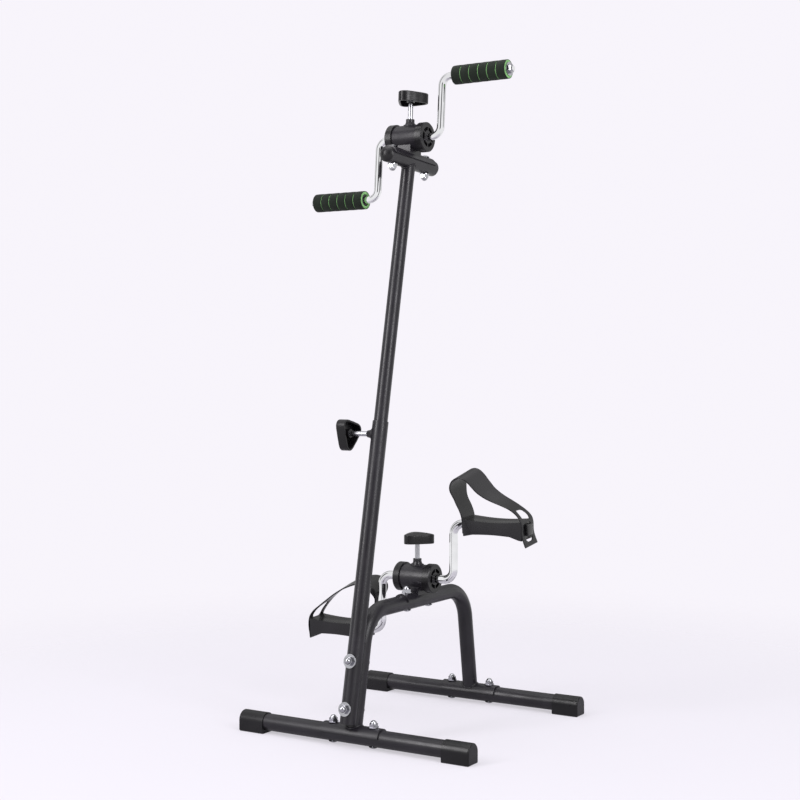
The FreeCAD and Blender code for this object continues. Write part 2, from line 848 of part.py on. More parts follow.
def housing_tube(prefix, place):
    length = S.housing_width - 2 * S.bearing_end
    inner = HOUSING_RADIUS - S.housing_wall
    tube = ring(prefix + "_housing_sweep", HOUSING_RADIUS, inner, length, "YZ_Plane")
    tube.Placement = at(-length / 2, 0, 0)
    hole = cylinder(prefix + "_housing_hole", SCREW_RADIUS + S.running_fit, HOUSING_RADIUS + S.cut_overrun)
    keep(prefix + "_housing_tube", cut(prefix + "_housing_tube", tube, hole), place)


def screw_boss(prefix, place):
    radius = S.screw_boss_diameter / 2
    top = HOUSING_RADIUS + S.screw_boss_height
    shoulder = top - S.screw_boss_height / 2
    blank = turned(
        prefix + "_boss_blank",
        [
            (SCREW_RADIUS + S.running_fit, 0),
            (radius + S.housing_wall, 0),
            (radius + S.housing_wall, HOUSING_RADIUS),
            (radius, shoulder),
            (radius, top),
            (SCREW_RADIUS + S.running_fit, top),
        ],
    )
    length = S.screw_boss_diameter + 2 * S.housing_wall + 2 * S.cut_overrun
    space = cylinder(
        prefix + "_boss_space", HOUSING_RADIUS + S.seat_gap, length, at(-length / 2, 0, 0, ALONG_X)
    )
    keep(prefix + "_screw_boss", cut(prefix + "_screw_boss", blank, space), place)


def bearing(prefix, side_name, side, rod_radius, place):
    """A plastic bearing cap: a rim over the housing tube, a ribbed recess and a hub round the rod."""
    name = f"{prefix}_{side_name}_bearing"
    rim_radius = S.bearing_diameter / 2
    bore = rod_radius + S.running_fit
    tube_start = S.bearing_rim - S.bearing_end
    housing_outer = HOUSING_RADIUS + S.seat_gap
    housing_inner = HOUSING_RADIUS - S.housing_wall - S.seat_gap
    blank = turned(
        name + "_blank",
        [
            (bore, -S.bearing_spigot),
            (housing_inner, -S.bearing_spigot),
            (housing_inner, tube_start),
            (housing_outer, tube_start),
            (housing_outer, 0),
            (rim_radius, 0),
            (rim_radius, S.bearing_rim - S.bearing_bevel),
            (rim_radius - S.bearing_bevel, S.bearing_rim),
            (bore, S.bearing_rim),
        ],
    )
    floor = S.bearing_rim - S.bearing_recess_depth
    recess = ring(
        name + "_recess",
        S.bearing_recess_diameter / 2,
        S.bearing_hub_diameter / 2,
        S.bearing_recess_depth + S.cut_overrun,
    )
    recess.Placement = at(0, 0, floor)
    ribs = [
        box(
            f"{name}_rib_{number}",
            S.bearing_recess_diameter / 2,
            S.bearing_rib_width,
            S.bearing_recess_depth + 2 * S.cut_overrun,
            at(0, 0, S.bearing_rim, turned_about_z(number * 360 / BEARING_RIBS))
            * at(S.bearing_recess_diameter / 4, 0, 0),
        )
        for number in range(BEARING_RIBS)
    ]
    pockets = cut(name + "_pockets", recess, *ribs)
    turn = ALONG_X if side > 0 else ALONG_MINUS_X
    start = S.housing_width / 2 - S.bearing_rim
    local = at(side * start, 0, 0, turn)
    keep(name, cut(name, blank, pockets), place * local)


def housing_saddle(prefix, tube_radius, length, bolt_places, grip_length, place):
    """A bent plate on the carrying tube, with the cradle that holds the housing."""
    node = prefix + "_housing_saddle"
    drop = tube_radius + S.saddle_thickness + HOUSING_RADIUS
    shell = half_shell(node, tube_radius + S.seat_gap, length)
    shell.Placement = place * at(0, 0, -drop, turned_about_z(90))
    cradle = box(
        node + "_cradle", S.cradle_width, S.cradle_depth, drop, place * at(0, 0, -drop / 2)
    )
    tube_space = cylinder(
        node + "_tube_space",
        tube_radius + S.seat_gap,
        length + 2 * S.cut_overrun,
        place * at(0, -length / 2 - S.cut_overrun, -drop, ALONG_Y),
    )
    housing_space = cylinder(
        node + "_housing_space",
        HOUSING_RADIUS + S.seat_gap,
        S.housing_width,
        place * at(-S.housing_width / 2, 0, 0, ALONG_X),
    )
    holes = bolt_holes(node + "_hole", bolt_places, grip_length)
    blank = fuse(node + "_blank", shell, cradle)
    keep(node, cut(node, blank, tube_space, housing_space, *holes))


# Tension brake


def tension_screw(node, tip, reach, place):
    """A plain chrome screw along Z from its tip to its end inside the knob."""
    bevel = SCREW_RADIUS / 4
    keep(
        node,
        turned(
            node,
            [
                (0, tip),
                (SCREW_RADIUS - bevel, tip),
                (SCREW_RADIUS, tip + bevel),
                (SCREW_RADIUS, reach),
                (0, reach),
            ],
        ),
        place,
    )


def brake_shoe(prefix, place):
    """A curved pad between the drum and the tip of the screw."""
    inner = S.drum_diameter / 2 + S.shoe_gap
    arc = ring(prefix + "_shoe_arc", inner + S.shoe_thickness, inner, S.shoe_length, "YZ_Plane")
    arc.Placement = at(-S.shoe_length / 2, 0, 0)
    window = box(
        prefix + "_shoe_window", S.shoe_length, S.shoe_width, inner + S.shoe_thickness,
        at(0, 0, (inner + S.shoe_thickness) / 2),
    )
    keep(prefix + "_brake_shoe", common(prefix + "_brake_shoe", arc, window), place)


def knob_outline(reach, corner_radius):
    """A three-cornered outline with round corners, as six places."""
    arm = reach - corner_radius
    places = []
    half_step = Size(180 / KNOB_CORNERS, repr(180 / KNOB_CORNERS))
    for corner in range(KNOB_CORNERS):
        angle = Size(360 * corner / KNOB_CORNERS, repr(360 * corner / KNOB_CORNERS))
        centre_x = arm * cosine(angle)
        centre_y = arm * sine(angle)
        first = angle - half_step
        second = angle + half_step
        places.append(
            (centre_x + corner_radius * cosine(first), centre_y + corner_radius * sine(first), corner_radius)
        )
        places.append((centre_x + corner_radius * cosine(second), centre_y + corner_radius * sine(second)))
    return places


def knob(node, place):
    """A hollow three-cornered knob with a boss round the screw, its open side at Z = 0."""
    reach = S.knob_corner_reach
    corner = S.knob_corner_radius
    wall = S.knob_wall
    block = slab(node + "_block", "XY_Plane", knob_outline(reach, corner), S.knob_height)
    round_ends(block, S.knob_rounding, UP)
    pocket_depth = S.knob_height - wall
    pocket = slab(node + "_pocket", "XY_Plane", knob_outline(reach - wall, corner - wall), pocket_depth)
    boss_length = pocket_depth - S.knob_boss_recess
    boss = cylinder(node + "_boss", S.knob_boss_diameter / 2, boss_length, at(0, 0, S.knob_boss_recess))
    bore = cylinder(
        node + "_bore", SCREW_RADIUS + S.running_fit, S.screw_grip + S.cut_overrun + S.seat_gap,
        at(0, 0, -S.cut_overrun),
    )
    shell = cut(node + "_shell", block, cut(node + "_hollow", pocket, boss))
    keep(node, cut(node, shell, bore), place)


def tension_unit(prefix, place, knob_angle):
    tip = S.drum_diameter / 2 + S.shoe_gap + S.shoe_thickness + S.seat_gap
    knob_base = HOUSING_RADIUS + S.screw_boss_height + S.screw_show
    tension_screw(prefix + "_tension_screw", tip, knob_base + S.screw_grip, place)
    brake_shoe(prefix, place)
    knob(prefix + "_tension_knob", place * at(0, 0, knob_base, turned_about_z(knob_angle)))


def clamp_unit(knob_angle):
    side = clamp_place() * at(0, 0, 0, ALONG_MINUS_X)
    tip = INNER_TUBE_RADIUS + S.shoe_gap
    knob_base = MAST_RADIUS + S.clamp_screw_reach
    tension_screw("clamp_screw", tip, knob_base + S.screw_grip, side)
    knob("clamp_knob", side * at(0, 0, knob_base, turned_about_z(knob_angle)))


# Cranks, each built with its axis along X through the local origin


def crank_rod(name, rod_radius, arm_place, crank_radius, bend_radius, end_place):
    """A round bar bent to a Z: the right arm points up and the left arm down."""
    body = new_body(name)
    section = new_sketch(body, "YZ_Plane", name + "_section")
    draw_circle(section, rod_radius)
    for side in (1, -1):
        corners = [
            (0, 0),
            (side * arm_place, 0),
            (side * arm_place, side * crank_radius),
            (side * end_place, side * crank_radius),
        ]
        label = "right" if side > 0 else "left"
        pipe(body, f"{name}_{label}", section, "XZ_Plane", corners, [bend_radius, bend_radius])
    return body


def friction_drum(node, rod_radius, place):
    drum = ring(node, S.drum_diameter / 2, rod_radius + S.seat_gap, S.drum_length, "YZ_Plane")
    keep(node, drum, place * at(-S.drum_length / 2, 0, 0))


def lower_crank(place):
    rod_radius = S.lower_rod_diameter / 2
    end_place = PEDAL_OUTER_PLACE - S.pedal_cup_depth + 2 * S.retainer_thickness
    rod = crank_rod(
        "lower_crank_rod", rod_radius, S.lower_arm_place, S.lower_crank_radius, S.lower_bend_radius, end_place
    )
    keep("lower_crank_rod", rod, place)
    friction_drum("lower_friction_drum", rod_radius, place)
    retainers = []
    for side in (-1, 1):
        inner_face = PEDAL_OUTER_PLACE - S.pedal_cup_depth + S.shoe_gap
        retainer = ring(
            f"pedal_retainer_{'left' if side < 0 else 'right'}",
            S.retainer_diameter / 2,
            rod_radius + S.seat_gap,
            S.retainer_thickness,
            "YZ_Plane",
        )
        start = inner_face if side > 0 else -inner_face - S.retainer_thickness
        retainer.Placement = place * at(start, 0, side * S.lower_crank_radius)
        retainers.append(retainer)
    keep("pedal_retainers", compound("pedal_retainer_set", *retainers))


def upper_crank(place):
    rod_radius = S.upper_rod_diameter / 2
    rod = crank_rod(
        "upper_crank_bar", rod_radius, S.upper_arm_place, S.upper_crank_radius, S.upper_bend_radius,
        GRIP_OUTER_PLACE,
    )
    studs = [
        cylinder(
            "rod_stud_" + name, BOLT_RADIUS, S.rod_stud_length,
            at(side * GRIP_OUTER_PLACE, 0, side * S.upper_crank_radius, turn),
        )
        for name, side, turn in (("right", 1, ALONG_X), ("left", -1, ALONG_MINUS_X))
    ]
    keep("upper_crank_rod", fuse("upper_crank_rod", rod, *studs), place)
    friction_drum("upper_friction_drum", rod_radius, place)
    washers = []
    nuts = []
    for name, side, turn in (("right", 1, ALONG_X), ("left", -1, ALONG_MINUS_X)):
        face = GRIP_OUTER_PLACE + S.seat_gap
        end_washer = washer("grip_washer_" + name, S.large_washer_diameter)
        end_washer.Placement = place * at(side * face, 0, side * S.upper_crank_radius, turn)
        washers.append(end_washer)
        nut_face = face + S.washer_thickness
        hexagon = add(
            "Part::Prism",
            "grip_nut_hexagon_" + name,
            Circumradius=S.nut_across_flats / 2 / cosine(Size(30, "30")),
            Height=S.nut_hex_height,
        )
        hexagon.Polygon = 6
        bore = cylinder(
            "grip_nut_bore_" + name, BOLT_RADIUS + S.seat_gap, S.nut_hex_height + 2 * S.cut_overrun,
            at(0, 0, -S.cut_overrun),
        )
        nut = cut("grip_nut_" + name, hexagon, bore)
        nut.Placement = place * at(side * nut_face, 0, side * S.upper_crank_radius, turn)
        nuts.append(nut)
    keep("grip_end_washers", compound("grip_washer_set", *washers))
    keep("grip_end_nuts", compound("grip_nut_set", *nuts))


def grip(side_name, side, place):
    """A foam grip: a green core and a black skin with grooves between its bands."""
    rod_radius = S.upper_rod_diameter / 2
    length = S.grip_length - 2 * S.grip_end_gap
    outer = S.grip_diameter / 2
    core_radius = outer - S.grip_skin
    start = side * (S.grip_inner_place + S.grip_length / 2)
    centre = place * at(start, 0, side * S.upper_crank_radius)
    core = ring(
        side_name + "_grip_core", core_radius, rod_radius + S.running_fit, length, "YZ_Plane"
    )
    keep(side_name + "_grip_core", core, centre * at(-length / 2, 0, 0))
    skin = ring(
        side_name + "_grip_sleeve", outer, core_radius + S.seat_gap, length, "YZ_Plane"
    )
    skin.Placement = at(-length / 2, 0, 0)
    floor = outer - S.grip_groove_depth
    grooves = []
    for number in range(1, GRIP_BANDS):
        groove = ring(
            f"{side_name}_groove_{number}", outer + S.cut_overrun, floor, S.grip_groove_width, "YZ_Plane"
        )
        share = number / GRIP_BANDS
        groove.Placement = at(length * share - length / 2 - S.grip_groove_width / 2, 0, 0)
        grooves.append(groove)
    keep(side_name + "_grip_skin", cut(side_name + "_grip_skin", skin, *grooves), centre)


# Pedals, built on the right side with the spindle along X through the local origin


def pedal_blank(name):
    """A block with square ends, hollowed by a wide arc above and a flatter one below."""
    inner = S.pedal_inner_place
    outer = PEDAL_OUTER_PLACE
    top = S.pedal_end_rise
    bottom = -S.pedal_end_drop
    corner = S.pedal_corner
    foot = S.pedal_end_foot
    belly = bottom + S.pedal_belly_rise
    outline = [
        (inner, top - corner),
        (inner, bottom),
        (inner + foot - S.pedal_belly_rise, bottom),
        (inner + foot, belly),
        (outer - foot, belly),
        (outer - foot + S.pedal_belly_rise, bottom),
        (outer, bottom),
        (outer, top - corner),
        (outer - corner, top),
        (inner + corner, top),
    ]
    block = slab(name + "_block", "XZ_Plane", outline, S.pedal_width, symmetric=True)
    middle = inner + S.pedal_length / 2
    hollows = []
    for label, half, sag, level, side in (
        ("tread", S.pedal_length / 2 - corner, S.pedal_tread_sag, top, 1),
        ("belly", S.pedal_length / 2 - foot, S.pedal_belly_sag, belly, -1),
    ):
        radius = (half * half + sag * sag) / (2 * sag)
        length = S.pedal_width + 2 * S.cut_overrun
        centre = at(middle, -length / 2, level + side * (radius - sag), ALONG_Y)
        hollows.append(cylinder(f"{name}_{label}_hollow", radius, length, centre))
    return cut(name + "_curved", block, *hollows)


def pedal_pockets(name):
    """Two long pockets from below, either side of the spine that holds the spindle."""
    length = S.pedal_length - 2 * S.pedal_end_foot
    side_width = (S.pedal_width - S.pedal_spine_width) / 2 - S.pedal_wall
    top = S.pedal_end_rise - S.pedal_tread_sag - S.pedal_wall
    bottom = -S.pedal_end_drop - S.cut_overrun
    centre_x = S.pedal_inner_place + S.pedal_length / 2
    return [
        box(
            f"{name}_{label}_pocket",
            length,
            side_width,
            top - bottom,
            at(centre_x, side * (S.pedal_spine_width + side_width) / 2, (top + bottom) / 2),
        )
        for label, side in (("near", -1), ("far", 1))
    ]


def pedal_body(name):
    """The moulded pedal: bored for the spindle, with a closed cup for its retainer and a peg outside."""
    bore_end = PEDAL_OUTER_PLACE - S.pedal_cup_depth
    bore = cylinder(
        name + "_bore",
        S.lower_rod_diameter / 2 + S.running_fit,
        bore_end - S.pedal_inner_place + 2 * S.cut_overrun,
        at(S.pedal_inner_place - S.cut_overrun, 0, 0, ALONG_X),
    )
    cup = cylinder(
        name + "_cup",
        S.retainer_diameter / 2 + S.shoe_gap,
        S.pedal_cup_depth - S.pedal_wall,
        at(bore_end, 0, 0, ALONG_X),
    )
    body = cut(name + "_hollowed", pedal_blank(name), bore, cup, *pedal_pockets(name))
    height = S.peg_top + S.peg_bottom
    length = S.peg_reach + S.pedal_wall / 2
    peg_middle = PEDAL_OUTER_PLACE + S.peg_reach - length / 2
    peg = box(name + "_peg", length, S.peg_width, height, at(peg_middle, 0, S.peg_top - height / 2))
    return fuse(name, body, peg)


def strap_route(folds, hook, end_drop, flare):
    """The corners and bend radii of the middle line of a strap, seen along Y."""
    half = S.strap_thickness / 2 + S.seat_gap
    root_x = S.pedal_inner_place - half
    end_x = PEDAL_OUTER_PLACE + half
    corners = [(root_x, -S.strap_root_drop), (root_x, S.strap_knee_rise)]
    radii = [S.strap_knee_radius]
    for along_share, rise_share, bend_share in folds:
        corners.append((S.pedal_inner_place + S.pedal_length * along_share, S.strap_height * rise_share))
        radii.append(S.strap_height * bend_share)
    hook_share, hook_bend_share = hook
    corners.append((end_x, S.strap_height * hook_share))
    radii.append(S.strap_height * hook_bend_share)
    if flare is not None:
        corners.append((end_x, -S.strap_tail_drop))
        radii.append(S.strap_knee_radius)
        end_x = end_x + flare
    corners.append((end_x, -end_drop))
    return corners, radii


def strap_band(name, route):
    """A band of even width swept along the strap's route."""
    body = new_body(name)
    section = new_sketch(body, "XY_Plane", name + "_section")
    section.AttachmentOffset = FreeCAD.Placement(point(0, 0, -S.strap_root_drop), STRAIGHT)
    half = S.strap_thickness / 2
    middle = S.pedal_inner_place - half - S.seat_gap
    side = S.strap_wide_width / 2
    draw_outline(
        section,
        [(middle - half, -side), (middle + half, -side), (middle + half, side), (middle - half, side)],
    )
    corners, radii = route
    pipe(body, name, section, "XZ_Plane", corners, radii)
    return body


def strap_width_limit(name):
    """The strap's outline seen along X: narrow at the pedal and wide over the foot."""
    narrow = S.strap_narrow_width / 2
    wide = S.strap_wide_width / 2 + S.seat_gap
    top = S.strap_height + S.strap_thickness + S.cut_overrun
    bottom = -S.strap_right_end_drop - S.cut_overrun
    outline = [
        (-narrow, bottom),
        (narrow, bottom),
        (narrow, S.strap_widening_start),
        (wide, S.strap_widening_end),
        (wide, top),
        (-wide, top),
        (-wide, S.strap_widening_end),
        (-narrow, S.strap_widening_start),
    ]
    reach = S.strap_height / 2
    limit = slab(name, "YZ_Plane", outline, S.pedal_length + 2 * reach)
    limit.Placement = at(S.pedal_inner_place - reach, 0, 0)
    return limit


def strap(name, route):
    """The band with an eye for the spindle, and two slots that hook over the outer peg."""
    cutters = [
        cylinder(
            name + "_eye",
            S.lower_rod_diameter / 2 + S.strap_eye_clearance,
            S.strap_thickness + 2 * S.cut_overrun,
            at(S.pedal_inner_place - S.strap_thickness - S.cut_overrun, 0, 0, ALONG_X),
        )
    ]
    outside = S.strap_tail_flare + S.strap_thickness + S.cut_overrun
    for label, low, high, inset in (
        ("upper", S.strap_bar_bottom + S.strap_bar_height, S.strap_slot_top, S.strap_slot_inset),
        ("lower", -S.strap_slot_bottom, S.strap_bar_bottom, S.strap_thickness),
    ):
        reach = inset + outside
        centre = at(PEDAL_OUTER_PLACE + outside - reach / 2, 0, (low + high) / 2)
        cutters.append(box(f"{name}_{label}_slot", reach, S.strap_slot_width, high - low, centre))
    limit = strap_width_limit(name + "_limit")
    return cut(name, common(name + "_tapered", strap_band(name + "_band", route), limit), *cutters)


def pedals():
    """The right pedal and its mirror image, each with its own lie of the strap."""
    body = pedal_body("pedal_form")
    flare = S.strap_tail_flare
    right_route = strap_route(RIGHT_STRAP_SHARES, RIGHT_HOOK_SHARES, S.strap_right_end_drop, flare)
    left_route = strap_route(LEFT_STRAP_SHARES, LEFT_HOOK_SHARES, S.strap_left_end_drop, None)
    for side_name, side, pitch, route in (
        ("right", 1, S.right_pedal_pitch_angle, right_route),
        ("left", -1, S.left_pedal_pitch_angle, left_route),
    ):
        place = at(0, LOWER_Y, LOWER_AXIS_HEIGHT + side * S.lower_crank_radius, turned_about_x(pitch))
        band = strap(side_name + "_strap_form", route)
        for kind, source in (("body", body), ("strap", band)):
            node = f"{side_name}_pedal_{kind}"
            thing = compound(node, source) if side > 0 else mirrored(node, source)
            keep(node, thing, place)


# Head


def head_bolt_places():
    height = HEAD_RADIUS + S.seat_gap + S.saddle_thickness
    reach = S.head_tube_length / 2 - S.upper_bolt_inset
    return [on_head(0, side * reach, height, DOWN) for side in (-1, 1)]


HEAD_GRIP_LENGTH = S.head_tube_diameter + 2 * S.seat_gap + S.saddle_thickness


def head_tube():
    tube = ring(
        "head_sweep", HEAD_RADIUS, HEAD_RADIUS - S.head_tube_wall, S.head_tube_length, "XY_Plane"
    )
    tube.Placement = on_head(0, S.head_tube_shift - S.head_tube_length / 2, 0, ALONG_Y)
    keep("head_tube", cut("head_tube", tube, *bolt_holes("head_hole", head_bolt_places(), HEAD_GRIP_LENGTH)))


def head_plugs():
    """Two domed plugs pushed into the ends of the cross tube."""
    dome = S.plug_dome_height
    radius = HEAD_RADIUS
    curve = (radius * radius + dome * dome) / (2 * dome)
    insert_radius = radius - S.head_tube_wall - S.seat_gap
    plugs = []
    for name, side, turn in (("front", -1, ALONG_MINUS_Y), ("rear", 1, ALONG_Y)):
        plug = turned(
            "head_plug_" + name,
            [
                (0, -S.plug_insert),
                (insert_radius, -S.plug_insert),
                (insert_radius, 0),
                (radius, 0),
                (radius, S.plug_flange, curve),
                (0, S.plug_flange + dome),
            ],
        )
        plug.Placement = on_head(0, S.head_tube_shift + side * S.head_tube_length / 2, 0, turn)
        plugs.append(plug)
    keep("head_plugs", compound("head_plug_set", *plugs))


def build_floor_stand():
    for name, y in (("front", FRONT_Y), ("rear", REAR_Y)):
        base_tube(name + "_base_tube", y)
        base_saddle(name + "_saddle", y)
        for side_name, side in (("left", -1), ("right", 1)):
            foot_cap(f"{name}_{side_name}_foot_cap", side, y)
    arch_tube()
    places = base_bolt_places(FRONT_Y) + base_bolt_places(REAR_Y)
    fastener_set("base", places, BASE_GRIP_LENGTH, S.small_washer_diameter)


def build_mast():
    mast_lower_tube()
    mast_clamp_boss()
    mast_upper_tube()
    mast_foot_plug()
    fastener_set("mast", mast_bolt_places(), MAST_GRIP_LENGTH, S.large_washer_diameter)
    clamp_unit(CLAMP_KNOB_ANGLE)


def build_unit(prefix, place, rod_radius, tube_radius, saddle_length, bolt_places, grip_length, knob_angle):
    housing_tube(prefix, place)
    housing_saddle(prefix, tube_radius, saddle_length, bolt_places, grip_length, place)
    screw_boss(prefix, place)
    for side_name, side in (("left", -1), ("right", 1)):
        bearing(prefix, side_name, side, rod_radius, place)
    fastener_set(prefix + "_housing", bolt_places, grip_length, S.small_washer_diameter)
    tension_unit(prefix, place, knob_angle)


LOWER_KNOB_ANGLE = 20
UPPER_KNOB_ANGLE = 28
CLAMP_KNOB_ANGLE = 63


def build_lower_unit():
    place = at(0, LOWER_Y, LOWER_AXIS_HEIGHT)
    build_unit(
        "lower", place, S.lower_rod_diameter / 2, ARCH_RADIUS, S.lower_saddle_length,
        lower_bolt_places(), LOWER_GRIP_LENGTH, LOWER_KNOB_ANGLE,
    )
    lower_crank(place)
    pedals()


def build_head():
    place = on_head(0, 0, UPPER_AXIS_RISE)
    head_tube()
    head_plugs()
    build_unit(
        "upper", place, S.upper_rod_diameter / 2, HEAD_RADIUS, S.head_tube_length - 2 * S.upper_saddle_inset,
        head_bolt_places(), HEAD_GRIP_LENGTH, UPPER_KNOB_ANGLE,
    )
    crank_place = place * at(0, 0, 0, turned_about_x(-S.upper_crank_lean_angle))
    upper_crank(crank_place)
    grip("right", 1, crank_place)
    grip("left", -1, crank_place)


def check_document():
    """Stop if any object failed or any sub-part's shape is missing or faulty."""
    for thing in doc.Objects:
        if "Invalid" in thing.State or "Error" in thing.State:
            raise RuntimeError(f"{thing.Label} failed: {thing.State}")
    for node, thing in NODES.items():
        shape = thing.Shape
        if shape.isNull() or not shape.isValid() or not shape.Solids:
            raise RuntimeError(f"{node} has no valid solid")


def write_parts():
    os.makedirs("parts", exist_ok=True)
    for node, thing in NODES.items():
        thing.Shape.exportStep(f"parts/{node}.step")
        print(node, len(thing.Shape.Solids), round(thing.Shape.Volume))


build_floor_stand()
build_mast()
build_lower_unit()
build_head()
doc.recompute()
check_document()
write_parts()
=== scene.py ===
import json
import math

import bmesh
import bpy
from bpy.props import FloatProperty, FloatVectorProperty, IntProperty, PointerProperty
from mathutils import Euler, Matrix, Vector


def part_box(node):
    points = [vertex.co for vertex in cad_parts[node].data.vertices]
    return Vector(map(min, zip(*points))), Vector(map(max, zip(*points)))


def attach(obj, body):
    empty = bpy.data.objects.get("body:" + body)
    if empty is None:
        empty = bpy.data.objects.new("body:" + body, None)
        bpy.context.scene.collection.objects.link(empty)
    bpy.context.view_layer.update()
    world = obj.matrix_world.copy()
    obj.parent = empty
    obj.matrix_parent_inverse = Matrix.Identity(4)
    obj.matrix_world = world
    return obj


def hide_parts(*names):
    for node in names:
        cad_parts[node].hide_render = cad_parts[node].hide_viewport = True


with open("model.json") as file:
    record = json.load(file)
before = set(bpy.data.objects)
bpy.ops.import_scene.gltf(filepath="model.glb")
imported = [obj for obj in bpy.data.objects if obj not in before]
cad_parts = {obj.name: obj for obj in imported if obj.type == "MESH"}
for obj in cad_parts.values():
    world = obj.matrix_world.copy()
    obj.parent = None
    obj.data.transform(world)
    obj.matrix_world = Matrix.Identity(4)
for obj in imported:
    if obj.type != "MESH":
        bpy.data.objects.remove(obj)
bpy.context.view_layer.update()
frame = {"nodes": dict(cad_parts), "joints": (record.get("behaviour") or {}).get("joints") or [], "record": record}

bl_info = {
    "name": "Pedal exerciser looks",
    "version": (1, 0, 0),
    "blender": (4, 5, 0),
    "location": "View3D > Sidebar > Exerciser",
    "description": "Dresses the pedal exerciser: grips, straps, pedals, knobs, welds, finishes and stage",
    "category": "Object",
}

# Facts read from the frame

JOINTS = {joint["name"]: joint for joint in frame["joints"]}
NODES = frame["nodes"]
MM = 0.001
FULL_TURN = 2 * math.pi
# Sides of the object as name and sign
SIDES = (("right", 1), ("left", -1))


def joint_point(name):
    return Vector(JOINTS[name]["pos_m"])


HEAD_PITCH = math.asin(JOINTS["upper_tension_knob_turn"]["axis"][1])
MAST_LEAN = math.asin(JOINTS["mast_slide"]["axis"][1])
LOWER_PLACE = Matrix.Translation(joint_point("lower_crank_spin"))
HEAD_PLACE = Matrix.Translation(joint_point("upper_crank_spin")) @ Matrix.Rotation(-HEAD_PITCH, 4, "X")
MAST_PLACE = Matrix.Translation(joint_point("head_swivel")) @ Matrix.Rotation(-MAST_LEAN, 4, "X")
CLAMP_PLACE = (
    Matrix.Translation(joint_point("clamp_knob_turn"))
    @ Matrix.Rotation(-MAST_LEAN, 4, "X")
    @ Matrix.Rotation(-math.pi / 2, 4, "Y")
)


# Sizes and colours that a user would change


class FinishColours(bpy.types.PropertyGroup):
    paint: FloatVectorProperty(
        name="Frame paint", description="Black powder coat of the tubes", subtype="COLOR",
        size=3, min=0, max=1, default=(0.0122, 0.011, 0.0142),
    )
    plastic: FloatVectorProperty(
        name="Moulded plastic", description="Caps, bearings and knobs", subtype="COLOR",
        size=3, min=0, max=1, default=(0.0075, 0.0071, 0.0082),
    )
    pedal: FloatVectorProperty(
        name="Pedal plastic", description="Grained plastic of the pedals", subtype="COLOR",
        size=3, min=0, max=1, default=(0.0085, 0.0081, 0.0093),
    )
    strap: FloatVectorProperty(
        name="Strap rubber", description="Soft rubber of the straps", subtype="COLOR",
        size=3, min=0, max=1, default=(0.006, 0.0055, 0.007),
    )
    foam: FloatVectorProperty(
        name="Black foam", description="Outside of the grips", subtype="COLOR",
        size=3, min=0, max=1, default=(0.0052, 0.0078, 0.0052),
    )
    foam_core: FloatVectorProperty(
        name="Green foam", description="Inside of the grips, seen in the grooves", subtype="COLOR",
        size=3, min=0, max=1, default=(0.15, 0.31, 0.12),
    )
    chrome: FloatVectorProperty(
        name="Chrome", description="Polished crank rods", subtype="COLOR",
        size=3, min=0, max=1, default=(0.86, 0.86, 0.88),
    )
    zinc: FloatVectorProperty(
        name="Bright zinc", description="Bolts, nuts, washers and screws", subtype="COLOR",
        size=3, min=0, max=1, default=(0.44, 0.44, 0.47),
    )
    steel: FloatVectorProperty(
        name="Bare steel", description="Parts hidden in the housings", subtype="COLOR",
        size=3, min=0, max=1, default=(0.5, 0.5, 0.52),
    )
    felt: FloatVectorProperty(
        name="Brake felt", description="Brake shoes", subtype="COLOR",
        size=3, min=0, max=1, default=(0.68, 0.66, 0.58),
    )


class GripSizes(bpy.types.PropertyGroup):
    bands: IntProperty(name="Bands", description="Foam bands on each grip", default=6, min=2)
    groove: FloatProperty(
        name="Groove width", description="Gap between two bands", default=1.25 * MM, unit="LENGTH"
    )
    groove_depth: FloatProperty(
        name="Groove depth", description="How far the green core lies below the bands",
        default=1.1 * MM, unit="LENGTH",
    )
    band_round: FloatProperty(
        name="Band rounding", description="Rounding of the band edges", default=0.9 * MM, unit="LENGTH"
    )
    liner: FloatProperty(
        name="Liner radius", description="Outside radius of the hard tube inside the foam",
        default=9.6 * MM, unit="LENGTH",
    )


class StrapSizes(bpy.types.PropertyGroup):
    thickness: FloatProperty(
        name="Thickness", description="Thickness of the rubber", default=2.1 * MM, unit="LENGTH"
    )
    narrow: FloatProperty(
        name="Width at the pedal", description="Width near the ends", default=42 * MM, unit="LENGTH"
    )
    wide: FloatProperty(
        name="Width over the foot", description="Width at the top", default=56 * MM, unit="LENGTH"
    )
    slot: FloatProperty(
        name="Slot width", description="Width of the slots at the outer end", default=23 * MM, unit="LENGTH"
    )
    slot_round: FloatProperty(
        name="Slot rounding", description="Rounding of the ends of the slots", default=8 * MM, unit="LENGTH"
    )


class PedalSizes(bpy.types.PropertyGroup):
    edge: FloatProperty(
        name="Edge rounding", description="Rounding of the moulded edges", default=1.3 * MM, unit="LENGTH"
    )
    lip: FloatProperty(
        name="Lip width", description="Rim round the tread", default=2.4 * MM, unit="LENGTH"
    )
    lip_height: FloatProperty(
        name="Lip height", description="How far the tread lies below its rim", default=0.9 * MM,
        unit="LENGTH",
    )


class KnobSizes(bpy.types.PropertyGroup):
    rounding: FloatProperty(
        name="Edge rounding", description="Rounding of the top edge", default=1.5 * MM, unit="LENGTH"
    )
    dome: FloatProperty(
        name="Dome", description="Rise of the top face above its rim", default=3.2 * MM, unit="LENGTH"
    )


class WeldSizes(bpy.types.PropertyGroup):
    bead: FloatProperty(
        name="Bead radius", description="Radius of a weld bead", default=1.7 * MM, unit="LENGTH"
    )
    ripple: FloatProperty(
        name="Ripple", description="Height of the ripples along a bead", default=0.35 * MM, unit="LENGTH"
    )


